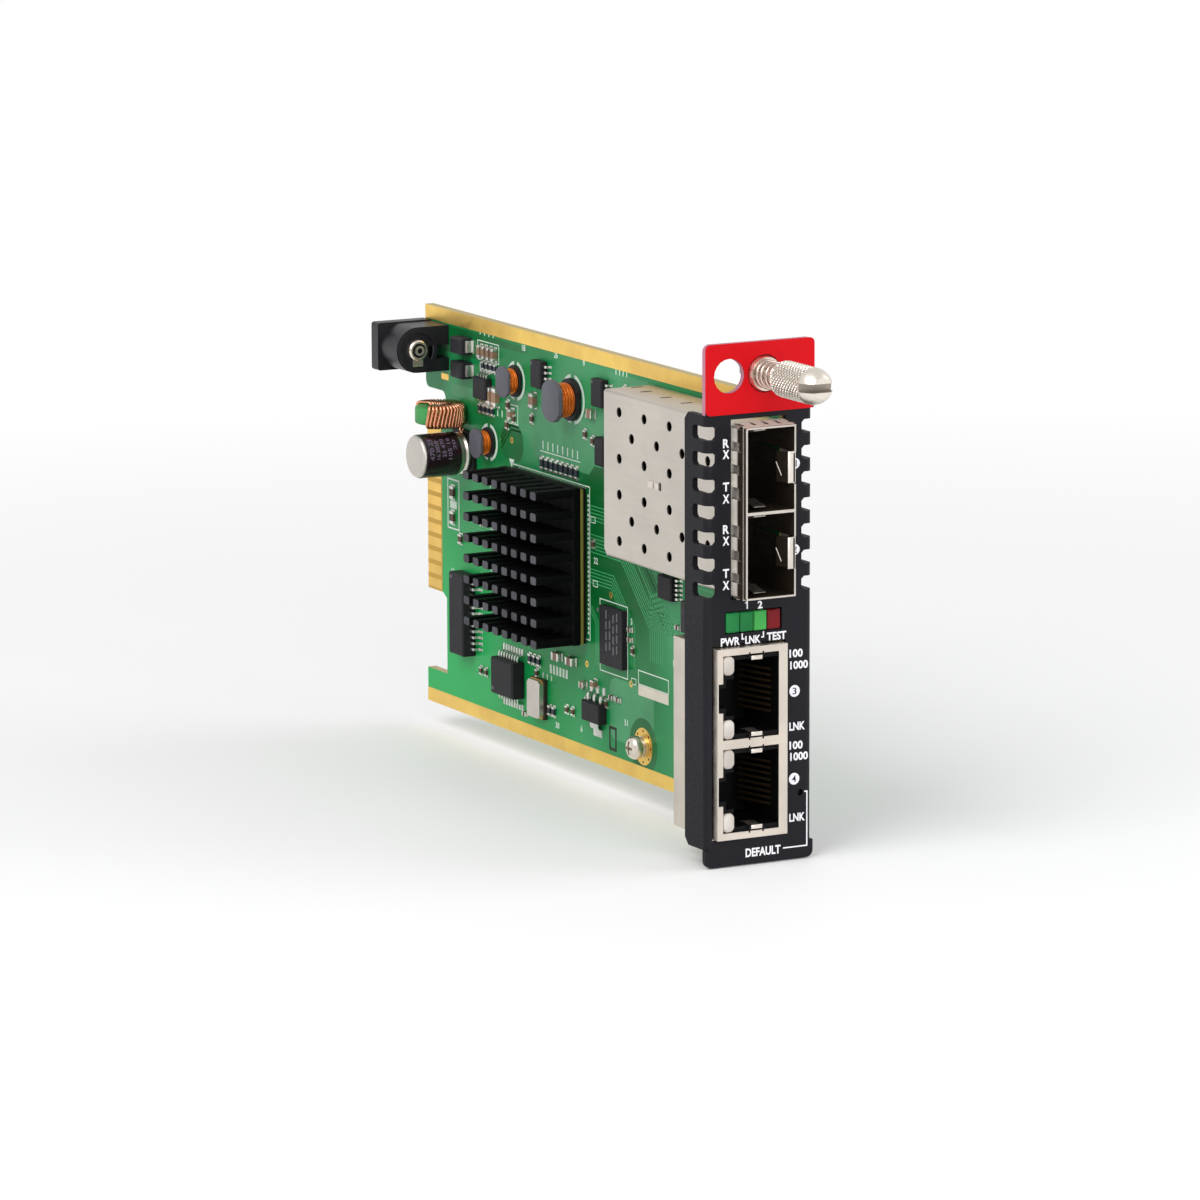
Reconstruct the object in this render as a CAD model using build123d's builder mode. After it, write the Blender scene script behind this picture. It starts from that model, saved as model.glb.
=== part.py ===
from build123d import *
import os

# Media converter card that slides into a rack chassis. Millimetres.
# Frame: origin on the thumbscrew's axis, in the plane of the faceplate's rear face.
# +X to the right seen from the front, +Y to the rear along the card, +Z up.
# Places below are given as across, back and up: from the faceplate's left edge,
# from its front face and from its bottom edge.

os.makedirs("parts", exist_ok=True)

# Faceplate
PANEL_W = 20.6
PANEL_H = 88.0
PANEL_T = 1.0
BEND_INSET = 0.15
BEND_R = 1.2
FLANGE_DEPTH = 7.3
FLANGE_LOW = 3.0
FLANGE_TOP = 76.2
SLOT_COUNT = 7
SLOT_PITCH = 4.4
SLOT_LOW = 46.8
SLOT_H = 2.3
SLOT_ON_FACE = 2.3
SLOT_ON_FLANGE = 4.6
SLOT_CORNER = 0.5
SCREW_ACROSS = 11.1
SCREW_UP = 82.6
LOCK_HOLE_R = 2.85
LOCK_HOLE_OFFSET = 6.67
LABEL_T = 0.25
FERRULE_R = 2.5
CORNER_R = 1.2
# Windows: left, right, low, top
CAGE_WINDOW = (4.85, 15.4, 45.1, 75.3)
LAMP_WINDOW = (3.75, 14.55, 39.4, 43.1)
JACK_WINDOW = (1.3, 15.25, 4.45, 37.6)
SWITCH_ACROSS = 18.13
SWITCH_UP = 11.2
PINHOLE_R = 0.6

# Circuit board
BOARD_ACROSS = 14.9
BOARD_T = 1.6
BOARD_FRONT = 1.4
BOARD_REAR = 131.3
BOARD_LOW = 4.4
BOARD_TOP = 77.8
COPPER_T = 0.05
SOLDER_FACE = BOARD_ACROSS + BOARD_T

# Optical cage, two bays one above the other
CAGE_LEFT = 5.3
CAGE_RIGHT = 14.74
CAGE_LOW = 45.6
CAGE_TOP = 74.4
CAGE_FRONT = -4.35
CAGE_REAR = 45.0
CAGE_T = 0.3
BAY_PITCH = 14.2

# RJ45 jack, two ports one above the other
JACK_LEFT = 1.5
JACK_RIGHT = 14.88
JACK_LOW = 4.8
JACK_TOP = 37.2
JACK_FRONT = -1.5
JACK_REAR = 13.6
JACK_T = 0.3

# Round outlines that nothing fits closely are fine polygons, which keeps the mesh light
ROUND_SIDES = 20
SMALL_SIDES = 10

# How far a cut runs past the face it opens, and the clearance between pieces that fit
PAST = 1.0
FIT = 0.05


def spot(across, back, up):
    """Row position of a place given from the faceplate's left, front and bottom."""
    return (across - SCREW_ACROSS, back - PANEL_T, up - SCREW_UP)


def facing_front(across, back, up):
    """Plane whose normal points forward; x to the right, y up."""
    return Plane(origin=spot(across, back, up), x_dir=(1, 0, 0), z_dir=(0, -1, 0))


def facing_rear(across, back, up):
    """Plane whose normal points to the rear; y up."""
    return Plane(origin=spot(across, back, up), x_dir=(-1, 0, 0), z_dir=(0, 1, 0))


def facing_left(across, back, up):
    """Plane whose normal points off the component side; x forward, y up."""
    return Plane(origin=spot(across, back, up), x_dir=(0, -1, 0), z_dir=(-1, 0, 0))


def facing_right(across, back, up):
    """Plane whose normal points off the solder side; x rearward, y up."""
    return Plane(origin=spot(across, back, up), x_dir=(0, 1, 0), z_dir=(1, 0, 0))


def facing_up(across, back, up):
    """Plane whose normal points up; x to the right, y rearward."""
    return Plane(origin=spot(across, back, up), x_dir=(1, 0, 0), z_dir=(0, 0, 1))


def on_board(back, up, lift=0.0):
    """Plane on the component side of the board, or lifted off it."""
    return facing_left(BOARD_ACROSS - lift, back, up)


def box(left, right, front, rear, low, top, mode=Mode.ADD):
    """Add or cut a plain block in the open part, between six card distances."""
    with BuildSketch(facing_up((left + right) / 2, (front + rear) / 2, low)) as footprint:
        Rectangle(right - left, rear - front)
    extrude(footprint.sketch, amount=top - low, mode=mode)


def board_block(back, up, length, height, thick, lift=0.0, bevel=0.0):
    """Add a block that stands on the component side; bevel tapers its outer face."""
    with BuildSketch(on_board(back, up, lift)) as footprint:
        Rectangle(length, height)
    extrude(footprint.sketch, amount=thick)
    if bevel > 0:
        outer = edges(Select.LAST).group_by(Axis.X)[0]
        chamfer(outer, bevel)


def disc(radius, mode=Mode.ADD):
    """Add or cut a round outline in the open sketch."""
    RegularPolygon(radius, ROUND_SIDES if radius > 1.5 else SMALL_SIDES, mode=mode)


def save(builder, name):
    """Label a finished piece and write its STEP file."""
    builder.part.label = name
    export_step(builder.part, f"parts/{name}.step")


# Faceplate: one folded sheet with two side flanges and an ear for the board
with BuildPart() as faceplate:
    with BuildSketch(facing_up(PANEL_W / 2, FLANGE_DEPTH / 2, FLANGE_LOW)):
        bent = Rectangle(PANEL_W - 2 * BEND_INSET, FLANGE_DEPTH)
        fillet(bent.vertices().group_by(Axis.Y)[0], BEND_R)
        with Locations((0, PANEL_T / 2)):
            Rectangle(PANEL_W - 2 * BEND_INSET - 2 * PANEL_T, FLANGE_DEPTH - PANEL_T, mode=Mode.SUBTRACT)
    extrude(amount=FLANGE_TOP - FLANGE_LOW)
    flange_corners = edges().filter_by(Axis.X).group_by(Axis.Y)[-1]
    chamfer(flange_corners, CORNER_R)
    # Flat tabs above and below the bent length
    for tab_low, tab_top in [(0, FLANGE_LOW), (FLANGE_TOP, PANEL_H)]:
        with BuildSketch(facing_front(PANEL_W / 2, PANEL_T, (tab_low + tab_top) / 2)) as tab:
            Rectangle(PANEL_W, tab_top - tab_low)
            outer_corners = tab.vertices().group_by(Axis.Y)[0 if tab_low == 0 else -1]
            fillet(outer_corners, CORNER_R)
        extrude(amount=PANEL_T)
    # Ear behind the right flange that the board's standoff is pressed into
    EAR_LOW, EAR_TOP, EAR_REAR = 5.6, 15.4, 53.5
    EAR_RIGHT = PANEL_W - BEND_INSET
    EAR_WEB = 7.0
    EAR_CORNER = 1.6
    with BuildSketch(facing_right(EAR_RIGHT - PANEL_T, 0, 0)) as ear:
        with BuildLine():
            Polyline(
                (FLANGE_DEPTH - PANEL_T, EAR_LOW),
                (EAR_REAR, EAR_LOW),
                (EAR_REAR, EAR_TOP),
                (FLANGE_DEPTH - PANEL_T + EAR_WEB, EAR_TOP),
                (FLANGE_DEPTH - PANEL_T, EAR_TOP + EAR_WEB),
                close=True,
            )
        make_face()
        chamfer(ear.vertices().group_by(Axis.X)[-1], EAR_CORNER)
    extrude(amount=PANEL_T)
    # Vent slots wrap round both bends
    for side, face_edge in [("left", 0.0), ("right", PANEL_W)]:
        for index in range(SLOT_COUNT):
            slot_up = SLOT_LOW + index * SLOT_PITCH
            with BuildSketch(facing_front(face_edge, PANEL_T + PAST, slot_up)):
                slot_on_face = Rectangle(2 * SLOT_ON_FACE, SLOT_H)
                chamfer(slot_on_face.vertices(), SLOT_CORNER)
            extrude(amount=PANEL_T + 2 * PAST, mode=Mode.SUBTRACT)
            flange_plane = facing_left(BEND_INSET + PANEL_T, 0, slot_up)
            if side == "right":
                flange_plane = facing_right(PANEL_W - BEND_INSET - PANEL_T, 0, slot_up)
            with BuildSketch(flange_plane):
                slot_on_flange = Rectangle(2 * SLOT_ON_FLANGE, SLOT_H)
                chamfer(slot_on_flange.vertices(), SLOT_CORNER)
            extrude(amount=PANEL_T + PAST, mode=Mode.SUBTRACT)
    # Windows for the optical cage, the status lamps and the RJ45 jack
    for left, right, low, top in [CAGE_WINDOW, LAMP_WINDOW, JACK_WINDOW]:
        box(left, right, -PAST, PANEL_T + PAST, low, top, Mode.SUBTRACT)
    # Ferrule hole, lock hole, button pinhole and the standoff's hole
    with BuildSketch(facing_front(SCREW_ACROSS, PANEL_T, SCREW_UP)):
        RegularPolygon(FERRULE_R, ROUND_SIDES, major_radius=False)
        with Locations((-LOCK_HOLE_OFFSET, 0)):
            Circle(LOCK_HOLE_R)
    extrude(amount=PANEL_T, mode=Mode.SUBTRACT)
    with BuildSketch(facing_front(SWITCH_ACROSS, PANEL_T, SWITCH_UP)):
        disc(PINHOLE_R)
    extrude(amount=PANEL_T, mode=Mode.SUBTRACT)
    STANDOFF_BACK, STANDOFF_UP = 48.8, 10.5
    SPIGOT_R = 1.9
    with BuildSketch(facing_right(EAR_RIGHT - PANEL_T, STANDOFF_BACK, STANDOFF_UP)):
        disc(SPIGOT_R)
    extrude(amount=PANEL_T, mode=Mode.SUBTRACT)
save(faceplate, "faceplate")

# Red label sheet over the top tab, with holes round the lock hole and the ferrule
FLANGE_R = 3.1
LABEL_CORNER = 0.9
with BuildPart() as top_label:
    with BuildSketch(facing_front(PANEL_W / 2, 0, (FLANGE_TOP + PANEL_H) / 2)) as label_outline:
        Rectangle(PANEL_W, PANEL_H - FLANGE_TOP)
        fillet(label_outline.vertices(), LABEL_CORNER)
        with Locations((SCREW_ACROSS - PANEL_W / 2, SCREW_UP - (FLANGE_TOP + PANEL_H) / 2)):
            disc(FLANGE_R + 0.1, Mode.SUBTRACT)
            with Locations((-LOCK_HOLE_OFFSET, 0)):
                disc(LOCK_HOLE_R + FIT, Mode.SUBTRACT)
    extrude(amount=LABEL_T)
save(top_label, "top_label")

# Ferrule: flanged sleeve pressed in the tab; its lip keeps the screw captive
THREAD_R = 1.5
SHANK_R = 1.15
FERRULE_BORE = SHANK_R + 0.07
FERRULE_REAR = -0.1
FLANGE_FRONT = -PANEL_T - 0.95
LIP_R = 1.9
LIP_FRONT = -PANEL_T - 1.7
with BuildPart() as thumbscrew_ferrule:
    with BuildSketch(Plane.XY) as ferrule_half:
        with BuildLine():
            Polyline(
                (FERRULE_BORE, FERRULE_REAR),
                (FERRULE_R, FERRULE_REAR),
                (FERRULE_R, -PANEL_T),
                (FLANGE_R, -PANEL_T),
                (FLANGE_R - 0.3, FLANGE_FRONT),
                (LIP_R, FLANGE_FRONT),
                (LIP_R, LIP_FRONT),
                (FERRULE_BORE, LIP_FRONT),
                close=True,
            )
        make_face()
    revolve(axis=Axis.Y)
save(thumbscrew_ferrule, "thumbscrew_ferrule")

# Thumbscrew: knob, shank and M3 screw turned as one piece
TIP = 5.0
THREAD_END = 4.6
KNOB_REAR = -7.4
KNOB_SHOULDER = -8.3
NOSE_START = -17.3
KNOB_FRONT = -20.2
KNOB_R = 3.1
NOSE_R = 1.75
DRIVER_SLOT_W = 1.3
DRIVER_SLOT_DEPTH = 2.4
with BuildPart() as thumbscrew:
    with BuildSketch(Plane.XY) as screw_half:
        with BuildLine():
            Polyline(
                (0, TIP),
                (THREAD_R + THREAD_END - TIP, TIP),
                (THREAD_R, THREAD_END),
                (THREAD_R, 0.0),
                (SHANK_R, 0.0),
                (SHANK_R, KNOB_REAR),
                (KNOB_R - 0.8, KNOB_REAR),
                (KNOB_R, KNOB_SHOULDER),
                (KNOB_R, NOSE_START),
                (NOSE_R + 1.0, KNOB_FRONT + 1.2),
                (NOSE_R, KNOB_FRONT),
                (0, KNOB_FRONT),
                close=True,
            )
        make_face()
    revolve(axis=Axis.Y)
    # Screwdriver slot across the nose
    with BuildSketch(Plane(origin=(0, KNOB_FRONT, 0), x_dir=(1, 0, 0), z_dir=(0, -1, 0))):
        Rectangle(2 * KNOB_R + PAST, DRIVER_SLOT_W)
    extrude(amount=-DRIVER_SLOT_DEPTH, mode=Mode.SUBTRACT)
save(thumbscrew, "thumbscrew")

# Compression spring between the ferrule and the knob, round the shank
SPRING_R = 2.3
WIRE = 0.5
WIRE_SIDES = 3
SPRING_TURNS = 3.5
SPRING_REAR = FLANGE_FRONT - WIRE / 2
SPRING_LENGTH = SPRING_REAR - KNOB_REAR - WIRE / 2
with BuildPart() as thumbscrew_spring:
    with BuildLine() as coil:
        Helix(
            pitch=SPRING_LENGTH / SPRING_TURNS,
            height=SPRING_LENGTH,
            radius=SPRING_R,
            center=(0, SPRING_REAR, 0),
            direction=(0, -1, 0),
        )
    with BuildSketch(Plane(origin=coil.line @ 0, z_dir=coil.line % 0)):
        RegularPolygon(WIRE / 2, WIRE_SIDES)
    sweep(is_frenet=True)
save(thumbscrew_spring, "thumbscrew_spring")

# Circuit board: its rear edge steps back on both sides of the tongue that plugs in
RECESS = 123.5
TONGUE_LOW = 25.5
TONGUE_TOP = 56.2
TONGUE_REAR = BOARD_REAR - 0.4
LOWER_RECESS_LOW = 10.6
UPPER_RECESS_TOP = 62.7
RECESS_R = 1.4
BOARD_HOLE_R = 1.45
with BuildPart() as circuit_board:
    with BuildSketch(facing_right(BOARD_ACROSS, 0, 0)) as board_outline:
        with BuildLine():
            Polyline(
                (BOARD_FRONT, BOARD_LOW),
                (BOARD_REAR, BOARD_LOW),
                (BOARD_REAR, LOWER_RECESS_LOW),
                (RECESS, LOWER_RECESS_LOW),
                (RECESS, TONGUE_LOW - 0.9),
                (RECESS + 1.5, TONGUE_LOW),
                (TONGUE_REAR, TONGUE_LOW),
                (TONGUE_REAR, TONGUE_TOP),
                (RECESS, TONGUE_TOP),
                (RECESS, UPPER_RECESS_TOP),
                (BOARD_REAR, UPPER_RECESS_TOP),
                (BOARD_REAR, BOARD_TOP),
                (BOARD_FRONT, BOARD_TOP),
                close=True,
            )
        make_face()
        recess_corners = board_outline.vertices().filter_by_position(
            Axis.Y, UPPER_RECESS_TOP - 0.1, UPPER_RECESS_TOP + 0.1
        )
        fillet(recess_corners, RECESS_R)
    extrude(amount=BOARD_T)
    with BuildSketch(facing_right(BOARD_ACROSS, STANDOFF_BACK, STANDOFF_UP)):
        disc(BOARD_HOLE_R)
    extrude(amount=BOARD_T, mode=Mode.SUBTRACT)
save(circuit_board, "circuit_board")

# Bare gold strips along both long edges, on both faces, that run in the chassis guides
STRIP_H = 2.5
with BuildPart() as ground_strips:
    for strip_low, strip_front in [(BOARD_LOW, JACK_REAR + 0.5), (BOARD_TOP - STRIP_H, BOARD_FRONT + 0.5)]:
        for face in [BOARD_ACROSS - COPPER_T, SOLDER_FACE]:
            box(face, face + COPPER_T, strip_front, BOARD_REAR, strip_low, strip_low + STRIP_H)
save(ground_strips, "ground_strips")

# Edge connector contacts on both faces of the rear tongue
CONTACT_PITCH = 2.54
CONTACT_COUNT = 12
CONTACT_H = 1.7
CONTACT_FRONT = 125.4
with BuildPart() as edge_contacts:
    for index in range(CONTACT_COUNT):
        low = TONGUE_LOW + 0.4 + index * CONTACT_PITCH
        for face in [BOARD_ACROSS - COPPER_T, SOLDER_FACE]:
            box(face, face + COPPER_T, CONTACT_FRONT, TONGUE_REAR - 0.1, low, low + CONTACT_H)
save(edge_contacts, "edge_contacts")

# Standoff pressed in the ear, and the screw that holds the board to it
SCREW_SHANK_R = 1.25
STANDOFF_R = 2.6
with BuildPart() as board_standoff:
    with BuildSketch(facing_right(SOLDER_FACE, STANDOFF_BACK, STANDOFF_UP)):
        RegularPolygon(STANDOFF_R, 6)
    extrude(amount=EAR_RIGHT - PANEL_T - SOLDER_FACE)
    with BuildSketch(facing_right(EAR_RIGHT - PANEL_T, STANDOFF_BACK, STANDOFF_UP)):
        disc(SPIGOT_R)
    extrude(amount=PANEL_T)
    with BuildSketch(facing_right(SOLDER_FACE, STANDOFF_BACK, STANDOFF_UP)):
        disc(SCREW_SHANK_R + 0.02)
    extrude(amount=EAR_RIGHT - SOLDER_FACE, mode=Mode.SUBTRACT)
save(board_standoff, "board_standoff")

SCREW_HEAD_R = 2.0
SCREW_HEAD_H = 1.9
with BuildPart() as board_screw:
    with BuildSketch(on_board(STANDOFF_BACK, STANDOFF_UP)):
        disc(SCREW_HEAD_R)
    extrude(amount=SCREW_HEAD_H)
    chamfer(edges().group_by(Axis.X)[0], 0.5)
    with BuildSketch(on_board(STANDOFF_BACK, STANDOFF_UP)):
        disc(SCREW_SHANK_R)
    extrude(amount=-(EAR_RIGHT - BOARD_ACROSS - 0.4))
save(board_screw, "board_screw")

# Optical cage cover: large left wall with vent holes, top, bottom and rear walls
VENT_R = 0.9
VENT_STEP = 8.83
VENT_ROW_OFFSET = 4.0
VENT_COLUMNS = 4
CAGE_MIDDLE = (CAGE_LOW + CAGE_TOP) / 2
BAY_CENTRES = [CAGE_MIDDLE - BAY_PITCH / 2, CAGE_MIDDLE + BAY_PITCH / 2]
with BuildPart() as sfp_cage_cover:
    box(CAGE_LEFT, CAGE_RIGHT, CAGE_FRONT, CAGE_REAR, CAGE_LOW, CAGE_TOP)
    fillet(edges().filter_by(Axis.Y).group_by(Axis.X)[0], 0.5)
    box(
        CAGE_LEFT + CAGE_T,
        CAGE_RIGHT + PAST,
        CAGE_FRONT - PAST,
        CAGE_REAR - CAGE_T,
        CAGE_LOW + CAGE_T,
        CAGE_TOP - CAGE_T,
        Mode.SUBTRACT,
    )
    # Cut-back lower rear corner of the large wall
    with BuildSketch(facing_right(CAGE_LEFT - 0.1, CAGE_REAR, CAGE_LOW)):
        with BuildLine():
            Polyline((0.1, -0.1), (0.1, 1.3), (-1.3, -0.1), close=True)
        make_face()
    extrude(amount=CAGE_T + 0.2, mode=Mode.SUBTRACT)
    # Vent holes: three staggered rows over each bay
    for centre in BAY_CENTRES:
        for row_offset, first_back in [(-VENT_ROW_OFFSET, 13.1), (0.0, 8.7), (VENT_ROW_OFFSET, 13.1)]:
            row_up = centre + row_offset
            for column in range(VENT_COLUMNS):
                with BuildSketch(facing_right(CAGE_LEFT, first_back + column * VENT_STEP, row_up)):
                    disc(VENT_R)
                extrude(amount=CAGE_T, mode=Mode.SUBTRACT)
save(sfp_cage_cover, "sfp_cage_cover")

# Cage base against the board, with a latch tongue at the mouth of each bay
TONGUE_HALF = 2.7
TONGUE_ROOT = 9.0
with BuildPart() as sfp_cage_base:
    box(
        CAGE_RIGHT - CAGE_T,
        CAGE_RIGHT,
        CAGE_FRONT,
        CAGE_REAR - CAGE_T,
        CAGE_LOW + CAGE_T,
        CAGE_TOP - CAGE_T,
    )
    for centre in BAY_CENTRES:
        tongue_low = centre - TONGUE_HALF
        tongue_top = centre + TONGUE_HALF
        box(
            CAGE_RIGHT - PAST,
            CAGE_RIGHT + PAST,
            CAGE_FRONT - PAST,
            TONGUE_ROOT,
            tongue_low,
            tongue_top,
            Mode.SUBTRACT,
        )
        with BuildSketch(facing_up(CAGE_RIGHT - CAGE_T, 0, tongue_low + 0.15)):
            with BuildLine():
                Polyline(
                    (0.0, TONGUE_ROOT + 0.1),
                    (-0.9, 1.0),
                    (-1.6, -1.2),
                    (-0.2, CAGE_FRONT),
                    (0.1, CAGE_FRONT),
                    (-1.25, -1.2),
                    (-0.6, 1.0),
                    (0.3, TONGUE_ROOT + 0.1),
                    close=True,
                )
            make_face()
        extrude(amount=tongue_top - tongue_low - 0.3)
save(sfp_cage_base, "sfp_cage_base")

# Wall between the two bays
DIVIDER_T = 0.5
with BuildPart() as sfp_cage_divider:
    box(
        CAGE_LEFT + CAGE_T,
        CAGE_RIGHT - CAGE_T,
        CAGE_FRONT,
        CAGE_REAR - CAGE_T,
        CAGE_MIDDLE - DIVIDER_T / 2,
        CAGE_MIDDLE + DIVIDER_T / 2,
    )
save(sfp_cage_divider, "sfp_cage_divider")

# Spring-finger gasket: a band round the cage with bowed fingers that reach the window's edge
BAND_T = 0.12
FINGER_FRONT = CAGE_FRONT + 0.9
BAND_W = 0.9
with BuildPart() as sfp_gasket:
    box(
        CAGE_LEFT - BAND_T,
        CAGE_RIGHT + BAND_T,
        FINGER_FRONT,
        FINGER_FRONT + BAND_W,
        CAGE_LOW - BAND_T,
        CAGE_TOP + BAND_T,
    )
    box(CAGE_LEFT, CAGE_RIGHT, CAGE_FRONT, FINGER_FRONT + 2, CAGE_LOW, CAGE_TOP, Mode.SUBTRACT)

    def finger(plane, width):
        """One bowed finger: x of the plane runs rearward, y away from the cage."""
        with BuildSketch(plane) as arch:
            with BuildLine():
                Polyline(
                    (0.0, 0.0),
                    (0.0, BAND_T),
                    (3.1, 0.36),
                    (4.35, 0.2),
                    (4.35, 0.08),
                    (3.1, 0.24),
                    (0.6, 0.0),
                    close=True,
                )
            make_face()
        extrude(arch.sketch, amount=width / 2, both=True)

    left_fingers = [(-12.9, 2.2), (-9.1, 2.2), (-5.3, 2.2), (0, 4.3), (5.3, 2.2), (9.1, 2.2), (12.9, 2.2)]
    for offset, width in left_fingers:
        for wall, outward in [(CAGE_LEFT, -1), (CAGE_RIGHT, 1)]:
            origin = spot(wall, FINGER_FRONT, CAGE_MIDDLE + offset)
            finger(Plane(origin=origin, x_dir=(0, 1, 0), z_dir=(0, 0, -outward)), width)
    for offset in [-3.3, -1.0, 1.3, 3.6]:
        for wall, outward in [(CAGE_LOW, -1), (CAGE_TOP, 1)]:
            origin = spot((CAGE_LEFT + CAGE_RIGHT) / 2 + offset, FINGER_FRONT, wall)
            finger(Plane(origin=origin, x_dir=(0, 1, 0), z_dir=(outward, 0, 0)), 1.7)
save(sfp_gasket, "sfp_gasket")

# Host connector at the rear of each bay, standing on the board, with a slot for the module's edge
HOST_FRONT = 33.5
HOST_REAR = 42.5
HOST_LEFT = 9.0
HOST_HALF = 5.6
EDGE_SLOT_HALF = 4.4
for name, centre in zip(["sfp_connector_lower", "sfp_connector_upper"], BAY_CENTRES):
    with BuildPart() as sfp_connector:
        box(HOST_LEFT, CAGE_RIGHT - CAGE_T, HOST_FRONT, HOST_REAR, centre - HOST_HALF, centre + HOST_HALF)
        chamfer(sfp_connector.edges().filter_by(Axis.Z).group_by(Axis.X)[0], 0.6)
        slot_low, slot_top = centre - EDGE_SLOT_HALF, centre + EDGE_SLOT_HALF
        box(11.0, 12.6, HOST_FRONT - PAST, HOST_FRONT + 5.0, slot_low, slot_top, Mode.SUBTRACT)
    save(sfp_connector, name)

# RJ45 jack: stamped shield with a window per port
PORT_CENTRES = [13.1, 28.9]
WINDOW_LEFT = 2.6
CAVITY_LEFT = 4.8
CAVITY_RIGHT = 13.2
CAVITY_H = 12.5
SHIELD_WINDOW_HALF = 7.1
LATCH_GAP_HALF = 2.45
with BuildPart() as rj45_shield:
    box(JACK_LEFT, JACK_RIGHT, JACK_FRONT, JACK_REAR, JACK_LOW, JACK_TOP)
    box(
        JACK_LEFT + JACK_T,
        JACK_RIGHT + PAST,
        JACK_FRONT + JACK_T,
        JACK_REAR - JACK_T,
        JACK_LOW + JACK_T,
        JACK_TOP - JACK_T,
        Mode.SUBTRACT,
    )
    for centre in PORT_CENTRES:
        box(
            WINDOW_LEFT,
            CAVITY_RIGHT,
            JACK_FRONT - PAST,
            JACK_FRONT + PAST,
            centre - SHIELD_WINDOW_HALF,
            centre + SHIELD_WINDOW_HALF,
            Mode.SUBTRACT,
        )
        # Gap for the plug's latch, round the edge of the shield
        box(
            JACK_LEFT - PAST,
            WINDOW_LEFT,
            JACK_FRONT - PAST,
            JACK_FRONT + 4,
            centre - LATCH_GAP_HALF,
            centre + LATCH_GAP_HALF,
            Mode.SUBTRACT,
        )
save(rj45_shield, "rj45_shield")

# Moulded housing with two plug cavities, latch channels and pockets for the LEDs
LED_W = 2.1
LED_LENGTH = 3.1
LED_ACROSS = 3.7
LED_OFFSET = 5.4
LED_REAR = 2.9
POCKET_HALF = LED_LENGTH / 2 + FIT
# Each step of a cavity: left, right, rear, half its height
PORT_STEPS = [
    (CAVITY_LEFT, CAVITY_RIGHT, 10.5, CAVITY_H / 2),
    (3.3, CAVITY_LEFT, 9.0, 3.1),
    (JACK_LEFT, 3.3, 7.0, 1.7),
]
with BuildPart() as rj45_housing:
    box(
        JACK_LEFT + JACK_T + FIT,
        JACK_RIGHT - 0.2,
        JACK_FRONT + JACK_T + FIT,
        JACK_REAR - JACK_T - FIT,
        JACK_LOW + JACK_T + FIT,
        JACK_TOP - JACK_T - FIT,
    )
    for centre in PORT_CENTRES:
        for left, right, rear, half in PORT_STEPS:
            box(left, right, JACK_FRONT - PAST, rear, centre - half, centre + half, Mode.SUBTRACT)
        for side in [-1, 1]:
            led_up = centre + side * LED_OFFSET
            box(
                WINDOW_LEFT,
                CAVITY_LEFT,
                JACK_FRONT - PAST,
                LED_REAR + 0.1,
                led_up - POCKET_HALF,
                led_up + POCKET_HALF,
                Mode.SUBTRACT,
            )
save(rj45_housing, "rj45_housing")

# Eight sprung contact wires in each port, sloping off the board side
WIRE_PITCH = 1.02
WIRE_W = 0.4
with BuildPart() as rj45_contacts:
    for centre in PORT_CENTRES:
        for index in range(8):
            wire_low = centre + (index - 3.5) * WIRE_PITCH - WIRE_W / 2
            with BuildSketch(facing_up(CAVITY_RIGHT, 0, wire_low)):
                with BuildLine():
                    Polyline((0, 1.2), (-2.2, 8.6), (-1.85, 8.7), (0, 2.4), close=True)
                make_face()
            extrude(amount=WIRE_W)
save(rj45_contacts, "rj45_contacts")

# LED lenses at the latch side corners of each port
led_number = 1
for centre in reversed(PORT_CENTRES):
    for side in [1, -1]:
        with BuildPart() as led_lens:
            with BuildSketch(facing_front(LED_ACROSS, LED_REAR, centre + side * LED_OFFSET)):
                lens_outline = Rectangle(LED_W, LED_LENGTH)
                chamfer(lens_outline.vertices(), 0.5)
            extrude(amount=LED_REAR - JACK_FRONT - 0.1)
        save(led_lens, f"rj45_led_{led_number}")
        led_number += 1

# Status lamps: four lenses side by side in a holder on the board
LAMP_FIRST = 3.9
LAMP_FRONT = -0.35
LAMP_REAR = 2.6
HOLDER_REAR = 8.2
LAMP_LOW = 39.6
LAMP_TOP = 42.9
LAMP_W = 2.5
LAMP_PITCH = 2.58
LAMP_NAMES = ["status_led_green_1", "status_led_green_2", "status_led_green_3", "status_led_red"]
for index, name in enumerate(LAMP_NAMES):
    lamp_left = LAMP_FIRST + index * LAMP_PITCH
    with BuildPart() as lamp:
        box(lamp_left, lamp_left + LAMP_W, LAMP_FRONT, LAMP_REAR, LAMP_LOW, LAMP_TOP)
        chamfer(lamp.edges().group_by(Axis.Y)[0], 0.15)
    save(lamp, name)

with BuildPart() as status_led_holder:
    box(LAMP_FIRST - 0.1, BOARD_ACROSS, LAMP_REAR, HOLDER_REAR, LAMP_LOW - 0.5, LAMP_TOP + 0.5)
    chamfer(status_led_holder.edges().filter_by(Axis.Z).group_by(Axis.X)[0], 0.5)
save(status_led_holder, "status_led_holder")

# Reset switch on the solder side, behind the pinhole
BUTTON_R = 0.8
BUTTON_FRONT = 1.3
BUTTON_REAR = 3.7
SWITCH_RIGHT = 19.25
SWITCH_FRONT = 2.4
SWITCH_REAR = 5.8
SWITCH_HALF = 3.0
with BuildPart() as default_switch:
    box(
        SOLDER_FACE,
        SWITCH_RIGHT,
        SWITCH_FRONT,
        SWITCH_REAR,
        SWITCH_UP - SWITCH_HALF,
        SWITCH_UP + SWITCH_HALF,
    )
    with BuildSketch(facing_front(SWITCH_ACROSS, SWITCH_FRONT, SWITCH_UP)):
        disc(BUTTON_R + 0.06)
    extrude(amount=-1.8, mode=Mode.SUBTRACT)
save(default_switch, "default_switch")

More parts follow.
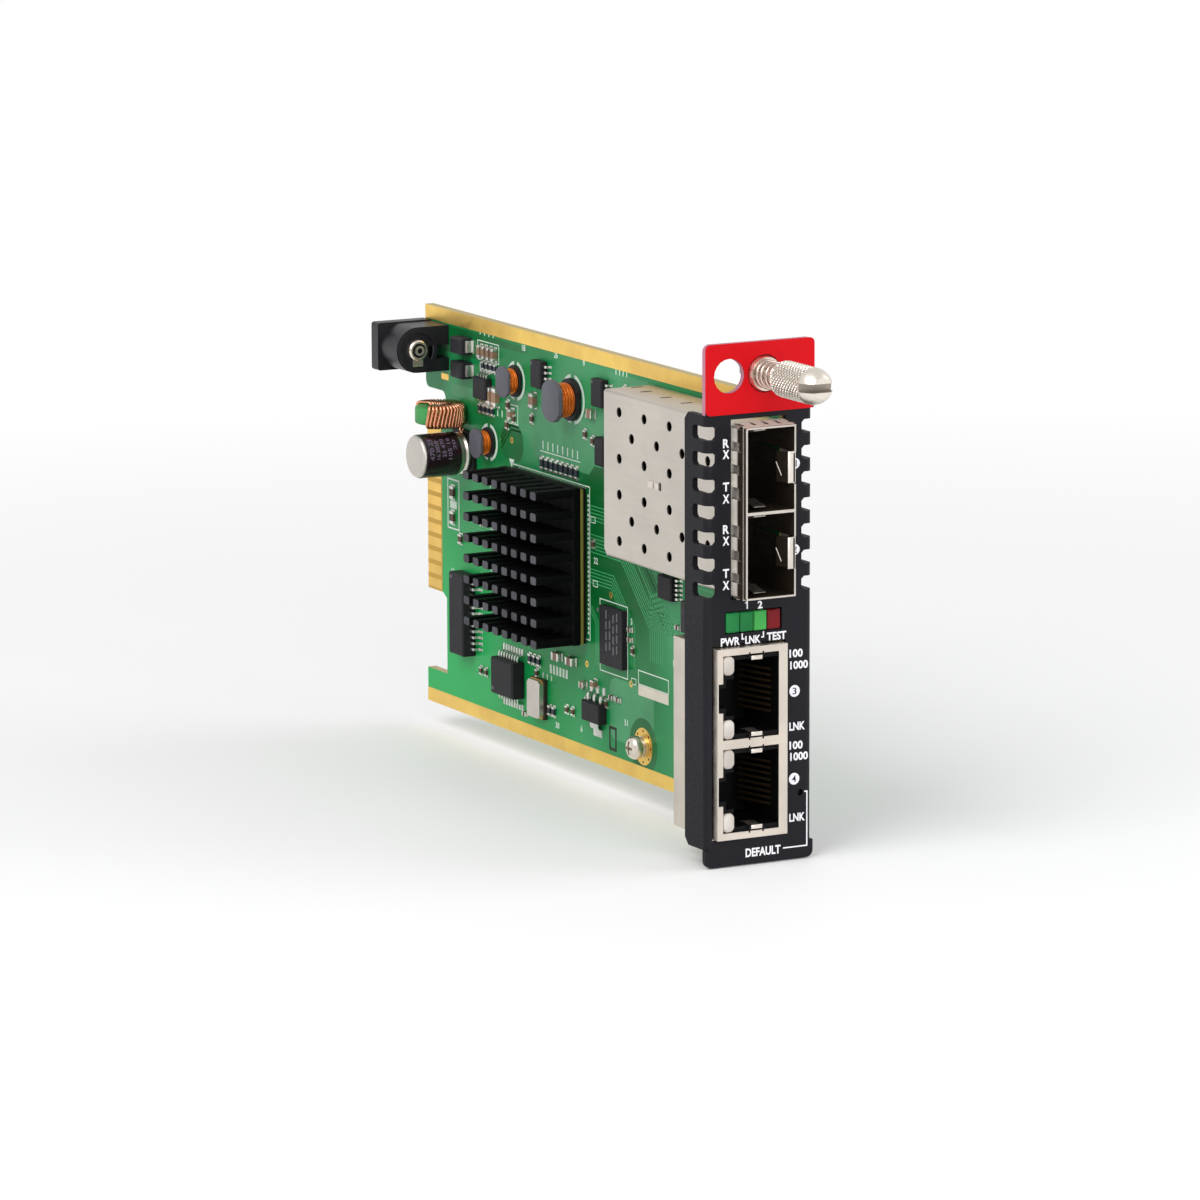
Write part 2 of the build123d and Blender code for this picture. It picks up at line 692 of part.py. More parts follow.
with BuildPart() as default_button:
    with BuildSketch(facing_front(SWITCH_ACROSS, BUTTON_REAR, SWITCH_UP)):
        disc(BUTTON_R)
    extrude(amount=BUTTON_REAR - BUTTON_FRONT)
    chamfer(default_button.edges().group_by(Axis.Y)[0], 0.2)
save(default_button, "default_button")

# DC power jack at the rear top corner, its socket facing the rear
SOCKET_ACROSS = 8.5
SOCKET_UP = 70.9
SOCKET_R = 3.15
JACK_BODY_R = 4.15
DC_FRONT = 122.0
DC_FLANGE = 128.8
DC_REAR = 131.3
DC_FLANGE_LEFT = 3.9
DC_FLANGE_LOW = 66.6
DC_FLANGE_TOP = 75.3
DC_WALL = 0.9
LEG_LEFT = 12.2
LEG_GAP = (69.2, 71.7)
PIN_R = 1.0
EYELET_R = 1.9
with BuildPart() as dc_jack_housing:
    with BuildSketch(facing_rear(SOCKET_ACROSS, DC_FRONT, SOCKET_UP)):
        disc(JACK_BODY_R)
        with Locations((-(BOARD_ACROSS - SOCKET_ACROSS) / 2, 0)):
            Rectangle(BOARD_ACROSS - SOCKET_ACROSS, 2 * JACK_BODY_R)
    extrude(amount=DC_FLANGE - DC_FRONT)
    box(DC_FLANGE_LEFT, BOARD_ACROSS, DC_FLANGE, DC_REAR, DC_FLANGE_LOW, DC_FLANGE_TOP)
    chamfer(dc_jack_housing.edges().filter_by(Axis.Y).group_by(Axis.X)[0], 0.6)
    # Slot between the two legs that stand on the board
    box(LEG_LEFT, BOARD_ACROSS + PAST, DC_FRONT - PAST, DC_FLANGE, *LEG_GAP, Mode.SUBTRACT)
    # Socket and the hole that the pin is riveted through
    with BuildSketch(facing_rear(SOCKET_ACROSS, DC_REAR, SOCKET_UP)):
        disc(SOCKET_R)
    extrude(amount=-(DC_REAR - DC_FRONT - DC_WALL), mode=Mode.SUBTRACT)
    with BuildSketch(facing_rear(SOCKET_ACROSS, DC_FRONT, SOCKET_UP)):
        disc(PIN_R + 0.02)
    extrude(amount=DC_WALL + 0.1, mode=Mode.SUBTRACT)
    # Raised ring round the front face
    with BuildSketch(facing_front(SOCKET_ACROSS, DC_FRONT, SOCKET_UP)):
        disc(JACK_BODY_R - 0.15)
        disc(3.25, Mode.SUBTRACT)
    extrude(amount=0.35)
save(dc_jack_housing, "dc_jack_housing")

with BuildPart() as dc_jack_pin:
    with BuildSketch(facing_rear(SOCKET_ACROSS, DC_FRONT - 0.65, SOCKET_UP)):
        disc(PIN_R)
    extrude(amount=DC_REAR - 0.8 - DC_FRONT + 0.65)
    chamfer(dc_jack_pin.edges().group_by(Axis.Y)[-1], 0.5)
    with BuildSketch(facing_front(SOCKET_ACROSS, DC_FRONT - 0.3, SOCKET_UP)):
        disc(EYELET_R)
    extrude(amount=0.45)
    chamfer(dc_jack_pin.edges().group_by(Axis.Y)[0], 0.25)
    with BuildSketch(facing_front(SOCKET_ACROSS, DC_FRONT - 0.75, SOCKET_UP)):
        disc(0.75)
    extrude(amount=-2.4, mode=Mode.SUBTRACT)
save(dc_jack_pin, "dc_jack_pin")

with BuildPart() as dc_jack_contact:
    with BuildSketch(facing_front(SOCKET_ACROSS, DC_FRONT, SOCKET_UP)):
        disc(EYELET_R)
        with Locations((0, -1.6)):
            Rectangle(2.0, 2.8)
        disc(PIN_R + 0.02, Mode.SUBTRACT)
    extrude(amount=0.3)
save(dc_jack_contact, "dc_jack_contact")

# Common-mode choke: ring core standing edge-on to the board, wound with copper
CHOKE_ACROSS = 10.1
CHOKE_BACK = 117.0
CHOKE_UP = 59.8
CORE_IN, CORE_OUT, CORE_H = 2.1, 4.1, 3.2
WIND_T = 0.45
WIND_GAP = 0.12
TURN_COUNT = 15
FIRST_TURN = -195
TURN_SWEEP = 265
with BuildPart() as choke_core:
    with BuildSketch(facing_up(CHOKE_ACROSS, CHOKE_BACK, CHOKE_UP - CORE_H / 2)):
        disc(CORE_OUT)
        disc(CORE_IN, Mode.SUBTRACT)
    extrude(amount=CORE_H)
save(choke_core, "choke_core")

choke_centre = Location(facing_up(CHOKE_ACROSS, CHOKE_BACK, CHOKE_UP))
with BuildPart() as choke_winding:
    for index in range(TURN_COUNT):
        angle = FIRST_TURN + index * TURN_SWEEP / (TURN_COUNT - 1)
        turn_plane = Plane(choke_centre * Location((0, 0, 0), (0, 0, angle)))
        radial = Plane(origin=turn_plane.origin, x_dir=turn_plane.x_dir, z_dir=turn_plane.y_dir)
        with BuildSketch(radial):
            with Locations(((CORE_IN + CORE_OUT) / 2, 0)):
                Rectangle(CORE_OUT - CORE_IN + 2 * WIND_T + WIND_GAP, CORE_H + 2 * WIND_T + WIND_GAP)
                Rectangle(CORE_OUT - CORE_IN + WIND_GAP, CORE_H + WIND_GAP, mode=Mode.SUBTRACT)
        extrude(amount=WIND_T / 2, both=True)
save(choke_winding, "choke_winding")

# Electrolytic capacitor: aluminium can, printed sleeve and rubber seal
CAP_BACK = 115.3
CAP_UP = 52.7
CAP_R = 3.85
CAP_H = 10.5
SLEEVE_T = 0.12
SLEEVE_START = 2.2
SLEEVE_END = 9.95
SEAL_H = 0.8
with BuildPart() as capacitor_can:
    with BuildSketch(on_board(CAP_BACK, CAP_UP, SEAL_H)):
        disc(CAP_R)
    extrude(amount=CAP_H - SEAL_H)
    chamfer(capacitor_can.edges().group_by(Axis.X)[0], 0.4)
save(capacitor_can, "capacitor_can")

with BuildPart() as capacitor_sleeve:
    with BuildSketch(on_board(CAP_BACK, CAP_UP, SLEEVE_START)):
        disc(CAP_R + SLEEVE_T)
        disc(CAP_R, Mode.SUBTRACT)
    extrude(amount=SLEEVE_END - SLEEVE_START)
save(capacitor_sleeve, "capacitor_sleeve")

with BuildPart() as capacitor_seal:
    with BuildSketch(on_board(CAP_BACK, CAP_UP)) as seal_outline:
        Rectangle(2 * CAP_R + 0.5, 2 * CAP_R + 0.5)
        chamfer(seal_outline.vertices().group_by(Axis.Y)[0], 1.6)
    extrude(amount=SEAL_H)
save(capacitor_seal, "capacitor_seal")

# Drum inductors: ferrite bobbin with two flanges, and its copper winding
FLANGE_SHARE = 0.27
POST_SHARE = 0.4
WINDING_SHARE = 0.84
# Back, up, radius, height
INDUCTORS = [
    (95.6, 68.6, 2.85, 2.9),
    (74.1, 68.2, 3.65, 4.55),
    (106.2, 55.8, 2.7, 2.9),
]
for number, (back, up, drum_r, height) in enumerate(INDUCTORS, start=1):
    flange_t = FLANGE_SHARE * height
    post_r = POST_SHARE * drum_r
    with BuildPart() as drum:
        with BuildSketch(on_board(back, up)) as lower_flange:
            disc(drum_r)
            Rectangle(2 * drum_r, 1.76 * drum_r, mode=Mode.INTERSECT)
        extrude(amount=flange_t)
        with BuildSketch(on_board(back, up, flange_t)):
            disc(post_r)
        extrude(amount=height - 2 * flange_t)
        with BuildSketch(on_board(back, up, height - flange_t)):
            disc(drum_r)
            Rectangle(2 * drum_r, 1.86 * drum_r, mode=Mode.INTERSECT)
        extrude(amount=flange_t)
    save(drum, f"inductor_core_{number}")
    with BuildPart() as winding:
        with BuildSketch(on_board(back, up, flange_t)):
            disc(WINDING_SHARE * drum_r)
            disc(post_r + 0.02, Mode.SUBTRACT)
        extrude(amount=height - 2 * flange_t)
    save(winding, f"inductor_winding_{number}")

# Two power diodes beside the DC jack
with BuildPart() as power_diodes:
    for up in [72.3, 67.9]:
        board_block(115.1, up, 4.4, 3.0, 2.2, lift=0.1, bevel=0.3)
save(power_diodes, "power_diodes")

# Small-outline power chips: back, up, length along the board, height, and where the leads are
POWER_CHIPS = [
    (85.7, 70.9, 3.9, 4.9, "front and rear"),
    (63.1, 70.6, 3.9, 4.9, "front and rear"),
    (107.5, 65.5, 4.9, 3.9, "above and below"),
    (38.6, 40.2, 4.9, 4.2, "front and rear"),
    (62.2, 60.4, 3.2, 5.0, "underneath"),
]
LEAD_LENGTH = 1.1
LEAD_W = 0.42
LEAD_T = 0.35
with BuildPart() as power_chips:
    for back, up, length, height, _ in POWER_CHIPS:
        board_block(back, up, length, height, 1.4, lift=0.15, bevel=0.25)
save(power_chips, "power_chips")

with BuildPart() as power_chip_leads:
    for back, up, length, height, leads in POWER_CHIPS:
        for index in range(4):
            for side in [-1, 1]:
                if leads == "front and rear":
                    lead_back = back + side * (length + LEAD_LENGTH) / 2
                    board_block(lead_back, up + (index - 1.5) * 1.04, LEAD_LENGTH, LEAD_W, LEAD_T)
                if leads == "above and below":
                    lead_up = up + side * (height + LEAD_LENGTH) / 2
                    board_block(back + (index - 1.5) * 1.27, lead_up, LEAD_W, LEAD_LENGTH, LEAD_T)
save(power_chip_leads, "power_chip_leads")

# Switch chip with its pin-fin heatsink
CHIP_BACK = 83.1
CHIP_UP = 39.0
CHIP_SIZE = 27.0
SUBSTRATE_T = 1.3
with BuildPart() as switch_chip:
    board_block(CHIP_BACK, CHIP_UP, CHIP_SIZE, CHIP_SIZE + 0.6, SUBSTRATE_T)
save(switch_chip, "switch_chip")

PIN_ROWS = 8
PIN_COLUMNS = 8
PIN_PITCH = 3.66
PIN_PITCH_UP = 3.76
SINK_BASE_T = 1.6
SINK_H = 8.85
PIN_LENGTH = 2.0
PIN_H = 1.35
with BuildPart() as heatsink:
    board_block(CHIP_BACK, CHIP_UP, CHIP_SIZE + 0.8, CHIP_SIZE + 1.0, SINK_BASE_T, lift=SUBSTRATE_T)
    with BuildSketch(on_board(CHIP_BACK, CHIP_UP, SUBSTRATE_T + SINK_BASE_T)):
        with GridLocations(PIN_PITCH, PIN_PITCH_UP, PIN_COLUMNS, PIN_ROWS):
            Rectangle(PIN_LENGTH, PIN_H)
    extrude(amount=SINK_H - SINK_BASE_T)
save(heatsink, "heatsink")

# Memory, interface and magnetics
with BuildPart() as memory_chip:
    board_block(58.6, 28.2, 8.2, 10.4, 1.1)
save(memory_chip, "memory_chip")

INTERFACE_BACK, INTERFACE_UP = 97.3, 14.5
INTERFACE_H = 6.6
FINE_PITCH = 0.65
with BuildPart() as interface_chip:
    board_block(INTERFACE_BACK, INTERFACE_UP, 8.4, INTERFACE_H, 2.5, lift=0.1, bevel=0.3)
save(interface_chip, "interface_chip")

with BuildPart() as interface_chip_leads:
    for index in range(12):
        lead_back = INTERFACE_BACK + (index - 5.5) * FINE_PITCH
        for side in [-1, 1]:
            board_block(lead_back, INTERFACE_UP + side * (INTERFACE_H + 1.6) / 2, 0.3, 1.6, 0.3)
save(interface_chip_leads, "interface_chip_leads")

MAGNETICS_BACK, MAGNETICS_UP = 114.8, 23.3
MAGNETICS_LENGTH = 5.6
MAGNETICS_PITCH = 1.1
with BuildPart() as magnetics_module:
    board_block(MAGNETICS_BACK, MAGNETICS_UP, MAGNETICS_LENGTH, 15.0, 2.6, lift=0.1, bevel=0.25)
save(magnetics_module, "magnetics_module")

with BuildPart() as magnetics_leads:
    for index in range(12):
        lead_up = MAGNETICS_UP + (index - 5.5) * MAGNETICS_PITCH
        for side in [-1, 1]:
            board_block(MAGNETICS_BACK + side * (MAGNETICS_LENGTH + 2.8) / 2, lead_up, 2.8, 0.45, 0.3)
save(magnetics_leads, "magnetics_leads")

# Crystal oscillator: metal can on a ceramic base
CRYSTAL_BACK, CRYSTAL_UP = 86.9, 12.5
CRYSTAL_BASE_T = 0.7
with BuildPart() as oscillator_base:
    board_block(CRYSTAL_BACK, CRYSTAL_UP, 5.2, 7.2, CRYSTAL_BASE_T)
save(oscillator_base, "oscillator_base")

with BuildPart() as oscillator_can:
    with BuildSketch(on_board(CRYSTAL_BACK, CRYSTAL_UP, CRYSTAL_BASE_T)):
        can_outline = Rectangle(4.8, 6.8)
        chamfer(can_outline.vertices(), 0.6)
    extrude(amount=0.9)
save(oscillator_can, "oscillator_can")

# Regulator with three leads and its tab
REGULATOR_BACK, REGULATOR_UP = 65.3, 13.8
with BuildPart() as regulator:
    board_block(REGULATOR_BACK, REGULATOR_UP, 6.4, 3.6, 1.7, lift=0.05, bevel=0.2)
save(regulator, "regulator")

with BuildPart() as regulator_leads:
    for shift in [-2.3, 0, 2.3]:
        board_block(REGULATOR_BACK + shift, REGULATOR_UP + 2.7, 0.75, 1.7, 0.3)
    board_block(REGULATOR_BACK, REGULATOR_UP - 2.9, 3.0, 2.0, 0.3)
save(regulator_leads, "regulator_leads")

# Small ceramic capacitors: back, up, length along the board, height
CAPACITORS = [
    (103.7, 64.8, 1.6, 3.0),
    (101.0, 64.9, 1.4, 3.0),
    (66.9, 66.4, 2.2, 1.5),
    (88.6, 65.8, 1.6, 2.6),
    (108.0, 72.2, 1.5, 2.4),
    (105.6, 72.2, 1.5, 2.4),
    (103.2, 72.2, 1.5, 2.4),
    (97.0, 62.2, 1.2, 1.8),
    (79.8, 21.2, 2.6, 1.4),
    (74.6, 21.2, 2.6, 1.4),
    (70.0, 17.8, 1.5, 1.2),
    (66.0, 18.6, 1.2, 1.5),
]
with BuildPart() as chip_capacitors:
    for back, up, length, height in CAPACITORS:
        board_block(back, up, length, height, 1.0)
save(chip_capacitors, "chip_capacitors")

# Rows of chip resistors: rearmost back, up, count, pitch, height
RESISTOR_ROWS = [
    (84.4, 55.0, 8, 1.75, 1.8),
    (109.4, 61.6, 4, 1.6, 1.6),
    (108.2, 69.5, 4, 1.6, 1.5),
    (90.6, 19.0, 3, 1.7, 1.8),
    (83.2, 10.9, 2, 1.6, 1.8),
]
with BuildPart() as chip_resistors:
    for rearmost, up, count, pitch, height in RESISTOR_ROWS:
        for index in range(count):
            board_block(rearmost - index * pitch, up, 0.9, height, 0.5)
save(chip_resistors, "chip_resistors")
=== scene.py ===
import math
import random

import bmesh
import bpy
from mathutils import Matrix, Quaternion, Vector


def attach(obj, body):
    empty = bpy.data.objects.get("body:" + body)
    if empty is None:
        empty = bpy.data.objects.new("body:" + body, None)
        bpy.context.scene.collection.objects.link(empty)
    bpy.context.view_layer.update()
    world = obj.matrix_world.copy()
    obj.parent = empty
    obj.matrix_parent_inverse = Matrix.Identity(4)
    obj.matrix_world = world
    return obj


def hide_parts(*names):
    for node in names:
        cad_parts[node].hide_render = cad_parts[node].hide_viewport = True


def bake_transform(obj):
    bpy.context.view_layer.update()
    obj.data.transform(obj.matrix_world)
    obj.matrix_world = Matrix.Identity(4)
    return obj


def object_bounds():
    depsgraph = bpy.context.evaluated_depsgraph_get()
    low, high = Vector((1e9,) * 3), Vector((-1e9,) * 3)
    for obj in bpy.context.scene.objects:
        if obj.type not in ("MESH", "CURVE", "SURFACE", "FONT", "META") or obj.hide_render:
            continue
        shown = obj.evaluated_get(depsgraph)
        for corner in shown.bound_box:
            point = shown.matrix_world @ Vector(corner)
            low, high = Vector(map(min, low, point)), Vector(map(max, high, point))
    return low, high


# Media converter card, dressed round its CAD frame. Sizes here are millimetres,
# given as across, back and up from the faceplate's left, front and bottom edges.

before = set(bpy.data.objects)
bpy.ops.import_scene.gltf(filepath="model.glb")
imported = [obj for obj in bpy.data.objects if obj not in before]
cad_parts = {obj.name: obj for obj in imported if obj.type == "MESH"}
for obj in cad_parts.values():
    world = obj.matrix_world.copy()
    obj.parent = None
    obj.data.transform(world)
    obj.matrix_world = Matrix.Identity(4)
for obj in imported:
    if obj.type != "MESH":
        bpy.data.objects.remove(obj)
cad_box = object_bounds()

MM = 0.001
PANEL_T = 1.0
SCREW_ACROSS = 11.1
SCREW_UP = 82.6
BOARD_ACROSS = 14.9
SOLDER_FACE = 16.5
INK = 0.03

random.seed(7)


# Places and planes
def spot(across, back, up):
    """Row position, in millimetres, of a place on the card."""
    return Vector((across - SCREW_ACROSS, back - PANEL_T, up - SCREW_UP))


def plane(place, x_axis, y_axis):
    """Matrix of a plane at a place, with its normal along x cross y."""
    x_axis, y_axis = Vector(x_axis), Vector(y_axis)
    columns = Matrix((x_axis, y_axis, x_axis.cross(y_axis))).transposed()
    return Matrix.Translation(place) @ columns.to_4x4()


def on_face(across, up, lift=0.0):
    """Plane on the faceplate's front, normal forward."""
    return plane(spot(across, -lift, up), (1, 0, 0), (0, 0, 1))


def on_board(back, up, lift=0.0):
    """Plane on the component side, x towards the front."""
    return plane(spot(BOARD_ACROSS - lift, back, up), (0, -1, 0), (0, 0, 1))


def on_solder(back, up):
    """Plane on the solder side, x towards the rear."""
    return plane(spot(SOLDER_FACE, back, up), (0, 1, 0), (0, 0, 1))


def level(across, back, up):
    """Level plane, normal up."""
    return plane(spot(across, back, up), (1, 0, 0), (0, 1, 0))


# Procedural materials
def linear(rgb):
    """Linear colour of an sRGB triple of 0 to 255."""
    def channel(value):
        value /= 255
        return value / 12.92 if value <= 0.04045 else ((value + 0.055) / 1.055) ** 2.4
    return tuple(channel(value) for value in rgb) + (1.0,)


class Nodes:
    """A material's node tree with short helpers."""

    def __init__(self, name):
        self.material = bpy.data.materials.new(name)
        self.material.use_nodes = True
        self.tree = self.material.node_tree
        self.shader = self.tree.nodes["Principled BSDF"]
        coordinates = self.add("ShaderNodeTexCoord")
        self.position = coordinates.outputs["Object"]

    def add(self, kind, **settings):
        node = self.tree.nodes.new(kind)
        for key, value in settings.items():
            setattr(node, key, value)
        return node

    def link(self, source, target):
        self.tree.links.new(source, target)

    def stretched(self, scale):
        """Object position multiplied by a scale per axis."""
        mapping = self.add("ShaderNodeMapping")
        mapping.inputs["Scale"].default_value = scale
        self.link(self.position, mapping.inputs["Vector"])
        return mapping.outputs["Vector"]

    def noise(self, scale, detail=3.0, stretch=(1, 1, 1)):
        """Noise of that many features a metre."""
        node = self.add("ShaderNodeTexNoise")
        node.inputs["Scale"].default_value = scale
        node.inputs["Detail"].default_value = detail
        self.link(self.stretched(stretch), node.inputs["Vector"])
        return node.outputs["Fac"]

    def ramp(self, factor, stops):
        """Colour ramp from (place, colour) stops."""
        node = self.add("ShaderNodeValToRGB")
        elements = node.color_ramp.elements
        while len(elements) < len(stops):
            elements.new(0.5)
        for element, (place, colour) in zip(elements, stops):
            element.position = place
            element.color = colour
        self.link(factor, node.inputs["Fac"])
        return node.outputs["Color"]

    def span(self, value, low, high, to_low=0.0, to_high=1.0):
        """Value mapped from one range to another and held at its ends."""
        node = self.add("ShaderNodeMapRange")
        for key, number in zip(("From Min", "From Max", "To Min", "To Max"), (low, high, to_low, to_high)):
            node.inputs[key].default_value = number
        self.link(value, node.inputs["Value"])
        return node.outputs["Result"]

    def mix(self, factor, first, second):
        """Colour mix; the ends may be colours or sockets."""
        node = self.add("ShaderNodeMix", data_type="RGBA")
        self.link(factor, node.inputs["Factor"])
        for socket, value in ((node.inputs[6], first), (node.inputs[7], second)):
            if isinstance(value, tuple):
                socket.default_value = value
            else:
                self.link(value, socket)
        return node.outputs[2]

    def along(self, axis, low, high):
        """0 to 1 between two places, in row millimetres, along an axis."""
        parts = self.add("ShaderNodeSeparateXYZ")
        self.link(self.position, parts.inputs["Vector"])
        return self.span(parts.outputs[axis], low * MM, high * MM)

    def facing(self, axis, low=0.5, high=0.7):
        """0 to 1 as the surface turns to face along an axis, either way."""
        geometry = self.add("ShaderNodeNewGeometry")
        parts = self.add("ShaderNodeSeparateXYZ")
        self.link(geometry.outputs["Normal"], parts.inputs["Vector"])
        size = self.add("ShaderNodeMath", operation="ABSOLUTE")
        self.link(parts.outputs[axis], size.inputs[0])
        return self.span(size.outputs[0], low, high)

    def product(self, *factors):
        """Factors multiplied together."""
        total = factors[0]
        for factor in factors[1:]:
            node = self.add("ShaderNodeMath", operation="MULTIPLY")
            self.link(total, node.inputs[0])
            self.link(factor, node.inputs[1])
            total = node.outputs[0]
        return total

    def either(self, first, second):
        """The greater of two factors."""
        node = self.add("ShaderNodeMath", operation="MAXIMUM")
        self.link(first, node.inputs[0])
        self.link(second, node.inputs[1])
        return node.outputs[0]

    def bump(self, height, strength, distance_mm):
        """Fine relief from a height."""
        node = self.add("ShaderNodeBump")
        node.inputs["Strength"].default_value = strength
        node.inputs["Distance"].default_value = distance_mm * MM
        self.link(height, node.inputs["Height"])
        self.link(node.outputs["Normal"], self.shader.inputs["Normal"])


def shade(rgb, factor):
    """An sRGB colour made darker or lighter."""
    return tuple(min(255, value * factor) for value in rgb)


def finish(name, rgb, roughness, metallic=0.0, tone=0.08, grain=900, stretch=(1, 1, 1), relief=0.15,
           depth=0.02, coat=0.0, specular=0.3, zone=None):
    """A finish whose colour and gloss drift a little and whose grain gives fine relief.

    A zone gives the share of another colour and metallic value at each place.
    """
    nodes = Nodes(name)
    patches = nodes.noise(110, 4.0)
    colour = nodes.ramp(patches, [(0.3, linear(shade(rgb, 1 - tone))), (0.7, linear(shade(rgb, 1 + tone)))])
    if zone:
        share, other, other_metallic = zone(nodes)
        colour = nodes.mix(share, colour, linear(other))
        nodes.link(nodes.span(share, 0, 1, metallic, other_metallic), nodes.shader.inputs["Metallic"])
    nodes.link(colour, nodes.shader.inputs["Base Color"])
    fine = nodes.noise(grain, 4.0, stretch)
    gloss = nodes.span(fine, 0.3, 0.7, roughness * 0.85, min(1.0, roughness * 1.2))
    nodes.link(gloss, nodes.shader.inputs["Roughness"])
    nodes.shader.inputs["Metallic"].default_value = metallic
    nodes.shader.inputs["Specular IOR Level"].default_value = specular
    if coat:
        nodes.shader.inputs["Coat Weight"].default_value = coat
        nodes.shader.inputs["Coat Roughness"].default_value = 0.12
    nodes.bump(fine, relief, depth)
    return nodes.material


def tab_edges(nodes):
    """Painted highlight: pale pink round the edges of the red tab and on the walls of its holes."""
    share = nodes.product(nodes.along("Z", -6.36, -6.26), nodes.facing("Y", 0.7, 0.5))
    return share, (188, 126, 146), 0.3


def inside_cage(nodes):
    """Painted shade inside the optical cage and on the front of its side, behind its bright edges."""
    inside = nodes.product(nodes.along("X", -5.7, -5.6), nodes.along("X", 3.56, 3.46),
                           nodes.along("Z", -36.9, -36.8), nodes.along("Z", -8.3, -8.4))
    side = nodes.product(nodes.facing("X"), nodes.along("Y", -2.6, -3.0))
    share = nodes.product(nodes.either(inside, side), nodes.along("Y", -5.3, -5.2))
    return share, (54, 46, 37), 0.5


def knurl_and_slot(nodes):
    """Painted shade in the grooves of the knurl and in the driver slot."""
    length = nodes.add("ShaderNodeVectorMath", operation="LENGTH")
    nodes.link(nodes.stretched((1, 0, 1)), length.inputs[0])
    groove = nodes.product(nodes.span(length.outputs["Value"], 3.04 * MM, 2.86 * MM),
                           nodes.along("Y", -8.4, -8.5),
                           nodes.along("Y", -17.3, -17.2))
    slot = nodes.product(nodes.along("Z", -0.75, -0.72), nodes.along("Z", 0.75, 0.72),
                         nodes.along("Y", -17.6, -17.7))
    return nodes.either(groove, slot), (160, 150, 138), 0.8


def finger_fronts(nodes):
    """The shaded front half of the fingers at the cage's sides."""
    share = nodes.product(nodes.facing("X"), nodes.along("Y", -2.7, -3.1))
    return share, (52, 42, 36), 0.8


def board_finish():
    """Solder mask: pale over copper, dark over laminate, with painted shade between the cage and the
    heatsink, tan at the cut edges and on the tongue.
    """
    nodes = Nodes("board_mask")
    zones = nodes.noise(26, 1.0)
    pours = nodes.ramp(zones, [(0.42, linear((2, 112, 54))), (0.5, linear((10, 129, 68))),
                               (0.58, linear((50, 145, 89)))])
    rear_low = nodes.product(nodes.along("Y", 60, 118), nodes.along("Z", -26, -60))
    greens = nodes.mix(rear_low, pours, linear((22, 174, 86)))
    # Painted shade: deeper green on the board between the cage and the heatsink
    shaded = nodes.product(nodes.along("Y", 38, 48), nodes.along("Y", 74, 68), nodes.along("Z", -58, -48),
                           nodes.along("Z", -20, -26))
    greens = nodes.mix(shaded, greens, linear((0, 90, 36)))
    weave = nodes.noise(2400, 2.0)
    toned = nodes.mix(nodes.span(weave, 0.3, 0.7, 0.0, 0.18), greens, linear((0, 84, 42)))
    # Bare laminate between the contacts of the rear tongue
    tongue = nodes.product(nodes.along("Y", 124.1, 124.4), nodes.along("Z", -57.4, -57.2),
                           nodes.along("Z", -26.1, -26.3))
    masked = nodes.mix(tongue, toned, linear((190, 148, 44)))
    colour = nodes.mix(nodes.facing("X", 0.6, 0.8), linear((168, 150, 92)), masked)
    nodes.link(colour, nodes.shader.inputs["Base Color"])
    nodes.shader.inputs["Roughness"].default_value = 0.34
    nodes.shader.inputs["Specular IOR Level"].default_value = 0.25
    nodes.bump(weave, 0.12, 0.01)
    return nodes.material


def lens_finish(name, deep, bright):
    """Cloudy tinted plastic, glossy outside."""
    nodes = Nodes(name)
    cells = nodes.noise(160, 1.0)
    colour = nodes.ramp(cells, [(0.3, linear(deep)), (0.7, linear(bright))])
    nodes.link(colour, nodes.shader.inputs["Base Color"])
    nodes.shader.inputs["Roughness"].default_value = 0.35
    nodes.shader.inputs["Specular IOR Level"].default_value = 0.18
    nodes.shader.inputs["Coat Weight"].default_value = 0.1
    nodes.shader.inputs["Coat Roughness"].default_value = 0.15
    nodes.bump(nodes.noise(1500), 0.08, 0.01)
    return nodes.material


# Its zone paints a pale pink highlight on the red tab's edges and hole walls.
panel_black = finish("panel_powder", (19, 19, 25), 0.55, tone=0.1, grain=3600, relief=0.35, depth=0.03,
                     specular=0.2, zone=tab_edges)
label_red = finish("label_film", (200, 0, 14), 0.5, tone=0.03, grain=1400, relief=0.06, specular=0.15)
ink_white = finish("ink_white", (240, 240, 246), 0.55, tone=0.03, grain=3000)
ink_dark = finish("ink_dark", (30, 32, 60), 0.55, tone=0.1, grain=3000)
nickel = finish("nickel_plate", (230, 221, 208), 0.3, 1.0, tone=0.05, grain=1200, relief=0.08)
# Its zone paints shade in the knurl's grooves and in the driver slot.
knurled_nickel = finish("knurled_nickel", (232, 224, 212), 0.32, 1.0, tone=0.04, grain=1200, relief=0.05,
                        zone=knurl_and_slot)
spring_steel = finish("spring_steel", (205, 190, 180), 0.25, 1.0, tone=0.08, grain=2000)
# Its zone paints shade inside the cage and on the front of its side wall.
cage_nickel = finish("cage_nickel", (206, 199, 190), 0.42, 1.0, tone=0.025, grain=500, stretch=(1, 0.2, 3),
                     relief=0.05, zone=inside_cage)
# A brighter copy of the nickel: painted highlight on the tabs, latch plates, springs, stop and edges that
# catch the light.
nickel_painted_highlight = finish("nickel_painted_highlight", (224, 216, 206), 0.35, 1.0, tone=0.04, grain=900, relief=0.05)
shield_steel = finish("shield_steel", (214, 204, 192), 0.38, 1.0, tone=0.04, grain=700, relief=0.06)
gasket_metal = finish("gasket_metal", (206, 198, 188), 0.45, 0.3, tone=0.1, grain=1500, zone=finger_fronts)
gold = finish("gold_plate", (248, 205, 110), 0.4, 1.0, tone=0.06, grain=900, relief=0.08)
gold_contact = finish("gold_contact", (240, 198, 104), 0.34, 1.0, tone=0.06, grain=900, relief=0.06)
